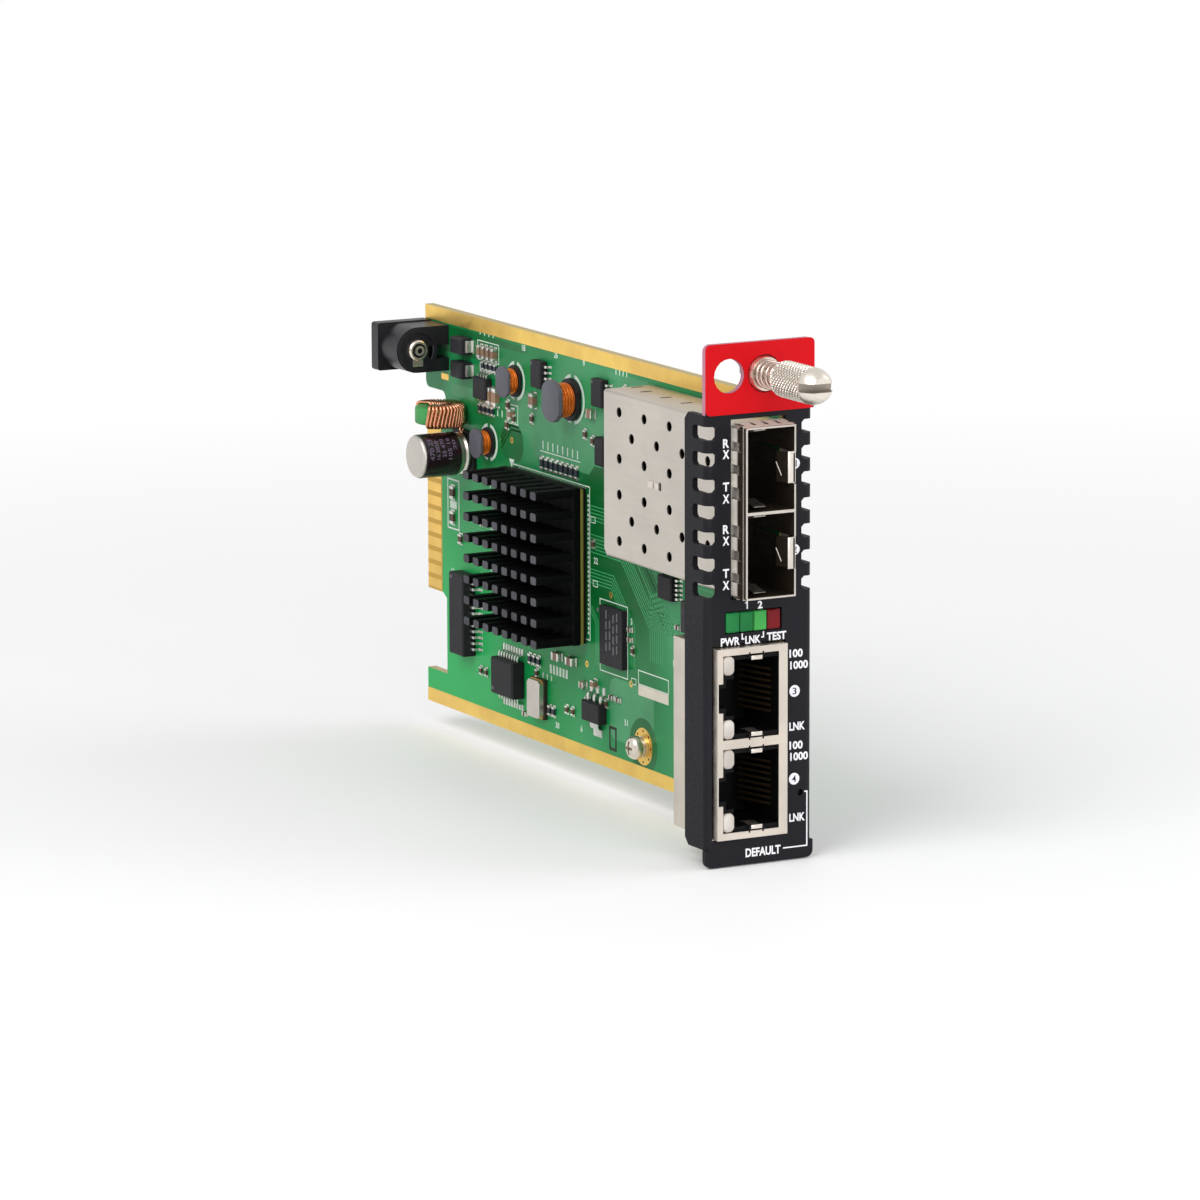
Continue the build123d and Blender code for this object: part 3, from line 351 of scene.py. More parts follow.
# Gold darkened almost to black: painted shade on the jack's contacts and in the plated holes.
gold_in_painted_shade = finish("gold_in_painted_shade", (44, 34, 18), 0.5, 0.4, tone=0.1, grain=900)
# A darker copy of the black plastic: painted shade in the port cavities and the rivet's hollow.
black_with_cavity_shade = finish("black_with_cavity_shade", (7, 7, 8), 0.5, tone=0.14, grain=1800, relief=0.2, specular=0.12)
bright_gold = finish("bright_gold", (214, 174, 96), 0.4, 1.0, tone=0.06, grain=900)
# Black plastic parts; also black films of painted shade over slits.
black_plastic = finish("black_plastic", (13, 13, 15), 0.45, tone=0.14, grain=1800, relief=0.2, specular=0.2)
jack_plastic = finish("jack_plastic", (24, 24, 28), 0.36, tone=0.12, grain=1800, relief=0.18, specular=0.35)
epoxy = finish("chip_epoxy", (32, 31, 35), 0.55, tone=0.1, grain=4200, relief=0.3, specular=0.25)
epoxy_mark = finish("chip_mark", (96, 96, 100), 0.6, tone=0.05, grain=3000)
# Near-black green: painted shade of the ball gap on the switch chip's box, and the dark outline on the board.
gap_shade_and_dark_ink = finish("chip_substrate", (24, 26, 16), 0.5, tone=0.12, grain=1500)
substrate_rim = finish("substrate_rim", (116, 110, 48), 0.5, tone=0.08, grain=1500)
anodised = finish("anodised_black", (7, 7, 9), 0.55, tone=0.2, grain=2600, relief=0.25, specular=0.1)
tip_painted_highlight = finish("anodised_tip_highlight", (70, 70, 75), 0.6, tone=0.2, grain=2600, relief=0.3, specular=0.2)
tin = finish("solder_tin", (222, 222, 216), 0.3, 1.0, tone=0.1, grain=1800, relief=0.3)
can_metal = finish("can_aluminium", (208, 204, 196), 0.38, 1.0, tone=0.03, grain=500, relief=0.08)
sleeve = finish("sleeve_film", (30, 20, 24), 0.25, tone=0.12, grain=600, coat=0.3)
sleeve_mark = finish("sleeve_mark", (108, 94, 118), 0.5, tone=0.1, grain=2500)
seal = finish("seal_plastic", (22, 22, 24), 0.55, tone=0.1, grain=2000)
ferrite = finish("ferrite_grey", (88, 88, 96), 0.52, tone=0.08, grain=2500, relief=0.25)
# A darker copy of the ferrite: painted shade on the drums' lower flanges and posts.
ferrite_painted_shade = finish("ferrite_painted_shade", (26, 25, 27), 0.5, tone=0.12, grain=2500)
enamel_wire = finish("enamel_wire", (232, 116, 20), 0.3, 0.5, tone=0.14, grain=900, coat=0.3)
bare_copper = finish("copper_wire", (228, 158, 122), 0.24, 1.0, tone=0.07, grain=900)
core_paint = finish("core_paint", (66, 150, 80), 0.45, tone=0.08, grain=1200, relief=0.25)
ceramic_tan = finish("ceramic_tan", (140, 112, 90), 0.5, tone=0.12, grain=2500)
ceramic_brown = finish("ceramic_brown", (84, 62, 50), 0.5, tone=0.14, grain=2500)
resistor_black = finish("resistor_black", (40, 44, 54), 0.4, tone=0.1, grain=2500)
silk = finish("silkscreen", (206, 220, 208), 0.6, tone=0.06, grain=3500)
silk_block = finish("silkscreen_block", (206, 200, 184), 0.6, tone=0.06, grain=3500)
trace_green = finish("mask_over_trace", (60, 152, 96), 0.34, tone=0.1, grain=2400)
pour_green = finish("mask_over_pour", (62, 140, 92), 0.36, tone=0.07, grain=2400)
deep_green = finish("mask_over_gap", (0, 96, 44), 0.36, tone=0.1, grain=2400)
button_grey = finish("button_plastic", (60, 60, 64), 0.45, tone=0.08, grain=1800)
can_steel = finish("oscillator_steel", (208, 200, 192), 0.35, 1.0, tone=0.05, grain=700)
ceramic_base = finish("oscillator_base", (40, 34, 28), 0.5, tone=0.1, grain=2000)
board_mask = board_finish()
lens_milky = lens_finish("lens_milky", (176, 168, 160), (214, 208, 200))
lens_green = lens_finish("lens_green", (16, 104, 50), (30, 128, 66))
lens_light = lens_finish("lens_light", (52, 146, 68), (72, 168, 80))
lens_red = lens_finish("lens_red", (98, 6, 14), (116, 10, 20))


# Mesh helpers, all in millimetres
def add_faces(bm, points, faces, slot=0):
    """Add vertices and the faces between them."""
    vertices = [bm.verts.new(point) for point in points]
    made = []
    for face in faces:
        new = bm.faces.new([vertices[index] for index in face])
        new.material_index = slot
        made.append(new)
    return made


def add_prism(bm, matrix, outline, thick, slot=0):
    """Extrude an outline, given anticlockwise, along the plane's normal."""
    count = len(outline)
    points = [matrix @ Vector((x, y, z)) for z in (0.0, thick) for x, y in outline]
    sides = [(i, (i + 1) % count, count + (i + 1) % count, count + i) for i in range(count)]
    ends = [tuple(reversed(range(count))), tuple(range(count, 2 * count))]
    return add_faces(bm, points, sides + ends, slot)


def add_block(bm, matrix, size, slot=0, bevel=0.0, segments=2):
    """A block standing on the plane, centred on it, with softened edges."""
    length, height, thick = size
    half_l, half_h = length / 2, height / 2
    outline = [(-half_l, -half_h), (half_l, -half_h), (half_l, half_h), (-half_l, half_h)]
    made = add_prism(bm, matrix, outline, thick, slot)
    if bevel > 0:
        edges = list({edge for face in made for edge in face.edges})
        result = bmesh.ops.bevel(bm, geom=edges, offset=bevel, segments=segments, profile=0.5,
                                 affect="EDGES", clamp_overlap=True)
        for face in result["faces"]:
            face.material_index = slot


def circle(radius, count=32):
    """Points of a circle, anticlockwise."""
    turns = [2 * math.pi * index / count for index in range(count)]
    return [(radius * math.cos(turn), radius * math.sin(turn)) for turn in turns]


def rounded(length, height, radius, parts=5):
    """Rectangle with round corners, anticlockwise."""
    points = []
    for corner, (sx, sy) in enumerate([(1, -1), (1, 1), (-1, 1), (-1, -1)]):
        centre = (sx * (length / 2 - radius), sy * (height / 2 - radius))
        for part in range(parts + 1):
            turn = math.radians(-90 + corner * 90 + part * 90 / parts)
            points.append((centre[0] + radius * math.cos(turn), centre[1] + radius * math.sin(turn)))
    return points


def add_ring(bm, matrix, inner, outer, thick, slot=0, count=36):
    """A flat ring."""
    outline = circle(outer, count) + circle(inner, count)
    points = [matrix @ Vector((x, y, z)) for z in (0.0, thick) for x, y in outline]
    faces = []
    for i in range(count):
        j = (i + 1) % count
        a, b, c, d = i, j, count + j, count + i
        top = 2 * count
        faces += [(d, c, b, a), (top + a, top + b, top + c, top + d), (a, b, top + b, top + a),
                  (c, d, top + d, top + c)]
    add_faces(bm, points, faces, slot)


def add_lathe(bm, matrix, profile, count=32, slot=0, wave=None):
    """Turn a profile of (radius, height) about the plane's normal; a wave moves the radius."""
    rows = []
    for radius, height in profile:
        row = []
        if radius < 1e-6:
            row = [bm.verts.new(matrix @ Vector((0, 0, height)))] * count
        else:
            for index in range(count):
                turn = 2 * math.pi * index / count
                out = radius + (wave(turn, height, radius) if wave else 0.0)
                row.append(bm.verts.new(matrix @ Vector((out * math.cos(turn), out * math.sin(turn),
                                                         height))))
        rows.append(row)
    for below, above in zip(rows, rows[1:]):
        for i in range(count):
            j = (i + 1) % count
            corners = []
            for vertex in (below[i], below[j], above[j], above[i]):
                if vertex not in corners:
                    corners.append(vertex)
            if len(corners) > 2:
                face = bm.faces.new(corners)
                face.material_index = slot


def add_tube(bm, path, radius, sides=8, slot=0, closed=False):
    """A round wire along points; its ends are capped unless it is closed."""
    path = [Vector(point) for point in path]
    count = len(path)
    rings = []
    side = None
    for index, point in enumerate(path):
        before = path[index - 1] if index or closed else point
        after = path[(index + 1) % count] if index < count - 1 or closed else point
        ahead = (after - before).normalized()
        if side is None:
            side = ahead.orthogonal().normalized()
        side = (side - ahead * side.dot(ahead)).normalized()
        other = ahead.cross(side)
        turns = [2 * math.pi * k / sides for k in range(sides)]
        spokes = [side * math.cos(turn) + other * math.sin(turn) for turn in turns]
        rings.append([bm.verts.new(point + spoke * radius) for spoke in spokes])
    pairs = list(zip(rings, rings[1:])) + ([(rings[-1], rings[0])] if closed else [])
    for first, second in pairs:
        for k in range(sides):
            face = bm.faces.new((first[k], first[(k + 1) % sides], second[(k + 1) % sides], second[k]))
            face.material_index = slot
    if not closed:
        bm.faces.new(list(reversed(rings[0]))).material_index = slot
        bm.faces.new(rings[-1]).material_index = slot


def add_ribbon(bm, matrix, path, width, thick=INK, slot=0):
    """A flat line of one width along points of the plane, with mitred corners."""
    path = [Vector(point) for point in path]
    left, right = [], []
    for index, point in enumerate(path):
        before = (point - path[index - 1]).normalized() if index else None
        after = (path[index + 1] - point).normalized() if index < len(path) - 1 else None
        before = before or after
        after = after or before
        ahead = (before + after).normalized()
        normal = Vector((-ahead.y, ahead.x))
        reach = width / 2 / max(0.4, normal.dot(Vector((-after.y, after.x))))
        left.append(point + normal * reach)
        right.append(point - normal * reach)
    add_prism(bm, matrix, [tuple(p) for p in right] + [tuple(p) for p in reversed(left)], thick, slot)


def add_strip(bm, matrix, path, thick, width, slot=0):
    """A bent strip: its side profile lies in the plane and its width runs along the normal."""
    path = [Vector(point) for point in path]
    upper, lower = [], []
    for index, point in enumerate(path):
        before = path[max(index - 1, 0)]
        after = path[min(index + 1, len(path) - 1)]
        ahead = (after - before).normalized()
        normal = Vector((-ahead.y, ahead.x))
        upper.append(point + normal * thick / 2)
        lower.append(point - normal * thick / 2)
    centred = matrix @ Matrix.Translation((0, 0, -width / 2))
    add_prism(bm, centred, [tuple(p) for p in lower] + [tuple(p) for p in reversed(upper)], width, slot)


def add_text(bm, matrix, words, cap, width=None, slot=0, thick=INK, weight=0.012):
    """Plain lettering centred on the plane, of a given capital height and overall width."""
    curve = bpy.data.curves.new("lettering", "FONT")
    curve.body = words
    curve.align_x = "CENTER"
    curve.align_y = "CENTER"
    curve.offset = weight
    curve.extrude = 0.5
    curve.resolution_u = 3
    holder = bpy.data.objects.new("lettering", curve)
    bpy.context.collection.objects.link(holder)
    mesh = bpy.data.meshes.new_from_object(holder.evaluated_get(bpy.context.evaluated_depsgraph_get()))
    bpy.data.objects.remove(holder)
    xs = [vertex.co.x for vertex in mesh.vertices]
    ys = [vertex.co.y for vertex in mesh.vertices]
    tall = cap / (max(ys) - min(ys))
    wide = width / (max(xs) - min(xs)) if width else tall
    centre = Vector(((max(xs) + min(xs)) / 2, (max(ys) + min(ys)) / 2, 0.5))
    fit = matrix @ Matrix.Translation((0, 0, thick)) @ Matrix.Diagonal((wide, tall, thick, 1)) \
        @ Matrix.Translation(-centre)
    mesh.transform(fit)
    before = len(bm.faces)
    bm.from_mesh(mesh)
    bm.faces.ensure_lookup_table()
    for face in bm.faces[before:]:
        face.material_index = slot
    bpy.data.meshes.remove(mesh)


def piece(name, bm, materials, body="card", replaces=(), angle=35):
    """Turn a mesh into a piece of the card that rides on a body."""
    bmesh.ops.remove_doubles(bm, verts=bm.verts, dist=1e-5)
    bmesh.ops.recalc_face_normals(bm, faces=bm.faces)
    bm.transform(Matrix.Scale(MM, 4))
    mesh = bpy.data.meshes.new(name)
    bm.to_mesh(mesh)
    bm.free()
    for material in materials:
        mesh.materials.append(material)
    mesh.polygons.foreach_set("use_smooth", [True] * len(mesh.polygons))
    mesh.set_sharp_from_angle(angle=math.radians(angle))
    obj = bpy.data.objects.new(name, mesh)
    bpy.context.collection.objects.link(obj)
    if body:
        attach(obj, body)
    if replaces:
        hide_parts(*replaces)
    return obj


def soften(obj, width):
    """Round off the sharp edges a little."""
    weld = obj.modifiers.new("weld", "WELD")
    weld.merge_threshold = 1e-6
    round_over = obj.modifiers.new("edges", "BEVEL")
    round_over.width = width * MM
    round_over.segments = 2
    round_over.limit_method = "ANGLE"
    round_over.angle_limit = math.radians(40)
    round_over.harden_normals = True


def dress(node, material, bevel=0.0):
    """Give a CAD node its finish and, where it is folded or moulded, soft edges."""
    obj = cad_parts[node]
    for holder in obj.material_slots:
        holder.material = material
    if bevel:
        soften(obj, bevel)


# CAD nodes that keep their own shape
for node, material, bevel in [
    ("faceplate", panel_black, 0.12),
    ("top_label", label_red, 0.0),
    ("thumbscrew_ferrule", nickel, 0.0),
    ("circuit_board", board_mask, 0.0),
    ("ground_strips", gold, 0.0),
    ("edge_contacts", gold_contact, 0.0),
    ("board_standoff", nickel, 0.1),
    ("sfp_cage_cover", cage_nickel, 0.06),
    ("sfp_cage_base", cage_nickel, 0.0),
    ("sfp_cage_divider", cage_nickel, 0.0),
    ("sfp_connector_lower", black_plastic, 0.08),
    ("sfp_connector_upper", black_plastic, 0.08),
    ("rj45_shield", shield_steel, 0.06),
    ("rj45_housing", black_with_cavity_shade, 0.06),
    ("rj45_contacts", gold_in_painted_shade, 0.0),
    ("status_led_green_1", lens_green, 0.35),
    ("status_led_green_2", lens_green, 0.35),
    ("status_led_green_3", lens_light, 0.35),
    ("status_led_red", lens_red, 0.3),
    ("status_led_holder", black_plastic, 0.1),
    ("default_switch", black_plastic, 0.08),
    ("default_button", button_grey, 0.0),
    ("dc_jack_pin", nickel, 0.05),
    ("dc_jack_contact", nickel, 0.0),
    ("capacitor_seal", seal, 0.12),
    ("power_diodes", epoxy, 0.08),
    ("power_chips", epoxy, 0.06),
    # The switch chip's box is painted near-black as the shade of the ball gap under its substrate edge.
    ("switch_chip", gap_shade_and_dark_ink, 0.0),
    ("memory_chip", epoxy, 0.06),
    ("interface_chip", epoxy, 0.08),
    ("magnetics_module", epoxy, 0.1),
    ("oscillator_base", ceramic_base, 0.05),
    ("oscillator_can", can_steel, 0.12),
    ("regulator", epoxy, 0.06),
]:
    dress(node, material, bevel)


# Legends on the faceplate
BOLD = 0.03


def make_legends():
    """White lettering, bay and port discs and the line that leads to the pinhole."""
    bm = bmesh.new()
    for number, up in enumerate((71.42, 64.16, 57.04, 49.66)):
        add_text(bm, on_face(3.92, up), "R" if number % 2 == 0 else "T", 1.5, 1.15, weight=BOLD)
    for up in (69.59, 62.15, 55.11, 47.64):
        add_text(bm, on_face(3.92, up), "X", 1.5, 1.25, weight=BOLD)
    for words, across, up, cap, width in [
        ("2", 10.4, 43.85, 1.3, 0.9),
        ("PWR", 4.75, 38.1, 1.4, 3.6),
        ("LNK", 9.05, 38.1, 1.35, 2.9),
        ("TEST", 13.55, 38.3, 1.4, 3.7),
        ("100", 17.3, 35.0, 1.4, 2.55),
        ("1000", 17.88, 33.0, 1.4, 3.4),
        ("LNK", 17.53, 22.6, 1.4, 3.0),
        ("100", 17.34, 19.36, 1.4, 2.55),
        ("1000", 17.92, 17.43, 1.4, 3.4),
        ("LNK", 17.56, 7.04, 1.4, 3.0),
        ("DEFAULT", 11.03, 1.92, 1.5, 6.7),
    ]:
        add_text(bm, on_face(across, up), words, cap, width, weight=BOLD)
    face = on_face(0, 0)
    bracket = 0.22
    add_ribbon(bm, face, [(7.62, 44.3), (7.95, 44.62), (7.95, 43.35)], bracket)
    for end, inward in ((7.0, 1), (11.05, -1)):
        add_ribbon(bm, face, [(end, 39.3), (end, 38.35), (end + inward * 0.42, 38.35)], bracket)
    add_ribbon(bm, face, [(14.88, 2.02), (19.45, 2.02), (19.45, 11.3), (18.95, 11.3)], bracket)
    for number, across, up, radius in [(1, 17.05, 67.04, 0.9), (2, 17.05, 52.56, 0.9), (3, 17.03, 28.6, 1.0),
                                       (4, 16.97, 13.65, 1.0)]:
        add_prism(bm, on_face(across, up), circle(radius), INK)
        add_text(bm, on_face(across, up, INK), str(number), 1.15, 0.55 if number == 1 else 0.75, slot=1)
    piece("panel_legends", bm, [ink_white, ink_dark], angle=30)


make_legends()


# Captive thumbscrew: knurled knob, shank and threaded tip
KNOB_REAR, KNOB_FRONT, KNOB_R = 7.4, 20.2, 3.1
KNURL_FROM, KNURL_TO = 8.5, 17.2
KNURL_COUNT = 21
KNURL_DEPTH = 0.36
KNURL_LEAN = 1.05
THREAD_PITCH = 0.5


def ridge(value):
    """Triangle wave from 0 in the groove to 1 on the crest."""
    part = value % 1.0
    return 1 - abs(2 * part - 1)


def screw_surface(turn, height, radius):
    """Diamond knurl on the knob and a thread on the tip; height runs forward."""
    share = turn / (2 * math.pi)
    if KNURL_FROM <= height <= KNURL_TO:
        along = height / (2 * math.pi * KNOB_R / KNURL_COUNT) * KNURL_LEAN
        first = ridge(share * KNURL_COUNT + along)
        second = ridge(share * KNURL_COUNT - along)
        cut = min(1.0, 1.6 * first) * min(1.0, 1.8 * second + 0.2)
        return -KNURL_DEPTH * (1 - cut)
    if -4.6 < height < -0.2 and radius > 1.3:
        return -0.3 * (1 - ridge(share - height / THREAD_PITCH))
    return 0.0


def steps(low, high, count):
    """Evenly spaced numbers, both ends included."""
    return [low + (high - low) * index / count for index in range(count + 1)]


def make_thumbscrew():
    """Turned screw with its driver slot."""
    profile = [(0, -5.0), (1.05, -5.0), (1.45, -4.65)]
    profile += [(1.5, height) for height in steps(-4.6, -0.2, 80)]
    profile += [(1.5, 0.0), (1.15, 0.0), (1.15, KNOB_REAR), (KNOB_R - 0.8, KNOB_REAR), (KNOB_R - 0.15, 8.05),
                (KNOB_R - 0.05, 8.3)]
    profile += [(KNOB_R, height) for height in steps(KNURL_FROM, KNURL_TO, 120)]
    nose = [(KNOB_R - 0.02, 17.35), (3.05, 17.8), (2.93, 18.3), (2.76, 18.8), (2.5, 19.3), (2.15, 19.8),
            (1.75, KNOB_FRONT)]
    profile += nose + [(0, KNOB_FRONT)]
    bm = bmesh.new()
    axis = plane(Vector((0, 0, 0)), (1, 0, 0), (0, 0, 1))
    add_lathe(bm, axis, profile, 192, wave=screw_surface)
    screw = piece("knurled_thumbscrew", bm, [knurled_nickel], "screw", ["thumbscrew"], 40)
    cutter = bmesh.new()
    add_block(cutter, plane(Vector((0, -KNOB_FRONT + 2.4, 0)), (1, 0, 0), (0, 0, 1)), (8, 1.4, 4))
    cut_away(screw, cutter)


def cut_away(obj, cutter):
    """Subtract a closed mesh, in millimetres, from a piece for good."""
    cutter.transform(Matrix.Scale(MM, 4))
    bmesh.ops.recalc_face_normals(cutter, faces=cutter.faces)
    mesh = bpy.data.meshes.new("cutter")
    cutter.to_mesh(mesh)
    cutter.free()
    tool = bpy.data.objects.new("cutter", mesh)
    bpy.context.collection.objects.link(tool)
    boolean = obj.modifiers.new("cut", "BOOLEAN")
    boolean.object = tool
    boolean.operation = "DIFFERENCE"
    boolean.solver = "EXACT"
    boolean.use_self = True
    bpy.context.view_layer.update()
    result = bpy.data.meshes.new_from_object(obj.evaluated_get(bpy.context.evaluated_depsgraph_get()))
    result.name = obj.name
    obj.modifiers.clear()
    obj.data = result
    bpy.data.objects.remove(tool)
    result.polygons.foreach_set("use_smooth", [True] * len(result.polygons))
    result.set_sharp_from_angle(angle=math.radians(40))


def make_spring():
    """Compression spring with closed end turns, between the ferrule and the knob."""
    rear, front = 2.25, 7.1
    turns = 3.5
    count = 150
    path = []
    for index in range(count + 1):
        share = index / count
        eased = 0.5 - 0.5 * math.cos(math.pi * share)
        along = rear + (front - rear) * (0.35 * eased + 0.65 * share)
        turn = 2 * math.pi * turns * share + 1.2
        path.append((2.2 * math.cos(turn), -along, 2.2 * math.sin(turn)))
    bm = bmesh.new()
    add_tube(bm, path, 0.27, 10)
    coil = piece("screw_spring", bm, [spring_steel], None, ["thumbscrew_spring"], 60)
    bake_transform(coil)


make_thumbscrew()
make_spring()


# Small metal-ended parts: back, up, length along the board, height
CAPACITORS = [
    (105.1, 64.4, 1.3, 3.2), (102.9, 64.4, 1.6, 3.4), (66.9, 66.4, 2.2, 1.5), (88.6, 65.8, 1.6, 2.6),
    (97.0, 62.2, 1.2, 1.8), (79.8, 21.2, 2.6, 1.4), (74.6, 21.2, 2.6, 1.4), (70.0, 17.8, 1.5, 1.2),
    (66.0, 18.6, 1.2, 1.5),
]
CAPACITORS += [(108.9 - index * 1.8, 72.0, 1.1, 2.3) for index in range(4)]
RESISTORS = [(85.6 - index * 1.85, 55.0, 1.0, 2.2) for index in range(8)]
RESISTORS += [(109.4 - index * 1.6, 61.6, 0.9, 1.6) for index in range(4)]
RESISTORS += [(103.4 + index * 1.6, 69.5, 0.9, 1.5) for index in range(4)]
RESISTORS += [(90.6 - index * 1.7, 19.0, 0.9, 1.8) for index in range(3)]
RESISTORS += [(83.2 - index * 1.6, 10.9, 0.9, 1.8) for index in range(2)]
EXTRA_PARTS = [
    (99.0, 60.0, 0.8, 1.5), (60.4, 66.0, 0.8, 1.4), (54.8, 72.2, 0.8, 1.4), (54.8, 69.6, 0.8, 1.4),
    (52.0, 66.4, 1.4, 0.8), (51.8, 63.8, 1.4, 0.8), (51.6, 58.4, 0.8, 1.4), (99.4, 22.1, 1.4, 0.8),
    (97.2, 22.1, 1.4, 0.8), (94.6, 22.1, 1.4, 0.8), (92.2, 21.9, 1.4, 0.8), (101.4, 49.2, 1.4, 0.8),
    (101.4, 46.8, 1.4, 0.8), (101.2, 36.4, 1.4, 0.8), (101.2, 33.8, 1.4, 0.8), (66.6, 43.4, 0.8, 1.4),
    (53.2, 30.4, 1.4, 0.8), (53.2, 28.6, 1.4, 0.8), (52.2, 26.8, 0.8, 1.4), (36.0, 33.6, 1.4, 0.8),
    (36.0, 31.4, 1.4, 0.8), (88.0, 16.8, 0.8, 1.4), (92.6, 8.6, 1.4, 0.8), (76.6, 12.2, 0.8, 1.4),
    (74.4, 12.2, 0.8, 1.4), (60.0, 17.2, 1.4, 0.8), (57.6, 17.2, 1.4, 0.8), (109.6, 13.6, 0.8, 1.4),
    (107.6, 13.6, 0.8, 1.4), (120.6, 44.6, 1.4, 2.4), (120.6, 40.0, 1.4, 2.4), (117.5, 36.5, 1.2, 1.8),
    (108.2, 49.4, 1.4, 0.9), (108.4, 45.0, 1.4, 0.9), (108.6, 40.6, 1.2, 0.9), (98.6, 63.6, 0.9, 1.6),
    (96.4, 61.4, 0.9, 1.5), (89.4, 62.4, 0.9, 1.6), (69.4, 62.4, 0.9, 1.6), (66.6, 61.6, 0.9, 1.6),
    (62.0, 15.8, 0.9, 1.5), (68.8, 15.4, 1.3, 0.9),
]


def add_chip_part(bm, back, up, length, height, thick):
    """A ceramic body between two metal ends that wrap round it."""
    upright = height >= length
    reach = max(length, height)
    cap = 0.24 * reach
    body_size = (length, height - cap, thick) if upright else (length - cap, height, thick)
    add_block(bm, on_board(back, up), body_size, slot=0, bevel=0.05, segments=1)
    for side in (-1, 1):
        shift = side * (reach - cap) / 2
        place = on_board(back, up + shift) if upright else on_board(back + shift, up)
        size = (length + 0.06, cap, thick + 0.05) if upright else (cap, height + 0.06, thick + 0.05)
        add_block(bm, place, size, slot=1, bevel=0.08)
        foot = on_board(back, up + side * reach / 2) if upright else on_board(back + side * reach / 2, up)
        foot_size = (length + 0.2, 0.5, 0.16) if upright else (0.5, height + 0.2, 0.16)
        add_block(bm, foot, foot_size, slot=1, bevel=0.07)


def make_small_parts():
    """Chip capacitors and resistors, with the extra ones round the board."""
    bm = bmesh.new()
    for place in CAPACITORS:
        add_chip_part(bm, *place, 1.0)
    piece("ceramic_parts", bm, [ceramic_tan, tin], replaces=["chip_capacitors"])
    bm = bmesh.new()
    for place in RESISTORS:
        add_chip_part(bm, *place, 0.5)
    piece("resistor_parts", bm, [resistor_black, tin], replaces=["chip_resistors"])
    bm = bmesh.new()
    for place in EXTRA_PARTS:
        add_chip_part(bm, *place, 0.5)
    piece("small_parts", bm, [ceramic_brown, tin])


make_small_parts()


# Bent leads
def add_gull_wing(bm, start, outward, reach, height, width, thick=0.16):
    """A lead from a chip's side at a board place, bent down to its foot; outward is (back, up)."""
    direction = Vector((0, outward[0], outward[1]))
    origin = spot(BOARD_ACROSS, *start)
    side_plane = plane(origin, direction, (-1, 0, 0))
    path = [(-0.15, height), (0.28 * reach, height), (0.45 * reach, height - 0.12), (0.52 * reach, thick),
            (0.6 * reach, thick * 0.6), (reach, thick * 0.55)]
    add_strip(bm, side_plane, path, thick, width)
    add_block(bm, on_board(start[0] + outward[0] * reach * 0.8, start[1] + outward[1] * reach * 0.8),
              (reach * 0.5 if outward[0] else width + 0.12, reach * 0.5 if outward[1] else width + 0.12,
               0.09),
              bevel=0.03, segments=1)


# Back, up, side that the leads leave from, leads a side, pitch and half the body's reach
POWER_LEADS = [
    (85.7, 70.9, "back", 4, 1.04, 1.95), (63.1, 70.6, "back", 4, 1.04, 1.95), (107.5, 65.5, "up", 4, 1.05,
                                                                               1.95),
    (38.6, 40.2, "back", 5, 0.8, 2.45),
]


def make_leads():
    """Leads of the power, interface, magnetics and regulator packages, and the diodes' tabs."""
    bm = bmesh.new()
    for back, up, direction, count, pitch, half in POWER_LEADS:
        for index in range(count):
            shift = (index - (count - 1) / 2) * pitch
            for side in (-1, 1):
                if direction == "back":
                    add_gull_wing(bm, (back + side * half, up + shift), (side, 0), 1.5, 0.75, 0.4)
                else:
                    add_gull_wing(bm, (back + shift, up + side * half), (0, side), 1.2, 0.75, 0.42)
    piece("power_leads", bm, [tin], replaces=["power_chip_leads"])
    bm = bmesh.new()
    for index in range(8):
        for side in (-1, 1):
            place = (97.3 + (index - 3.5) * 1.0, 14.5 + side * 3.3)
            add_gull_wing(bm, place, (0, side), 2.2, 1.1, 0.42)
    piece("interface_leads", bm, [tin], replaces=["interface_chip_leads"])
    bm = bmesh.new()
    for index in range(12):
        for side in (-1, 1):
            place = (114.8 + side * 2.8, 23.3 + (index - 5.5) * 1.1)
            add_gull_wing(bm, place, (side, 0), 2.6, 1.2, 0.45)
    piece("magnetics_wings", bm, [tin], replaces=["magnetics_leads"])
    bm = bmesh.new()
    for shift in (-2.3, 0, 2.3):
        add_gull_wing(bm, (65.3 + shift, 13.8 + 1.8), (0, 1), 2.7, 0.8, 0.8)
    add_gull_wing(bm, (65.3, 13.8 - 1.8), (0, -1), 2.6, 0.8, 3.0)
    piece("regulator_wings", bm, [tin], replaces=["regulator_leads"])
    bm = bmesh.new()
    for up in (72.3, 67.9):
        for side in (-1, 1):
            back = 115.1 + side * 2.2
            side_plane = plane(spot(BOARD_ACROSS, back, up), (0, side, 0), (-1, 0, 0))
            add_strip(bm, side_plane, [(-0.3, 1.35), (0.12, 1.3), (0.2, 0.9), (0.2, 0.12)], 0.2, 2.1)
            add_block(bm, on_board(back + side * 0.35, up), (1.0, 2.5, 0.14), bevel=0.05)
    piece("diode_tabs", bm, [tin])


make_leads()


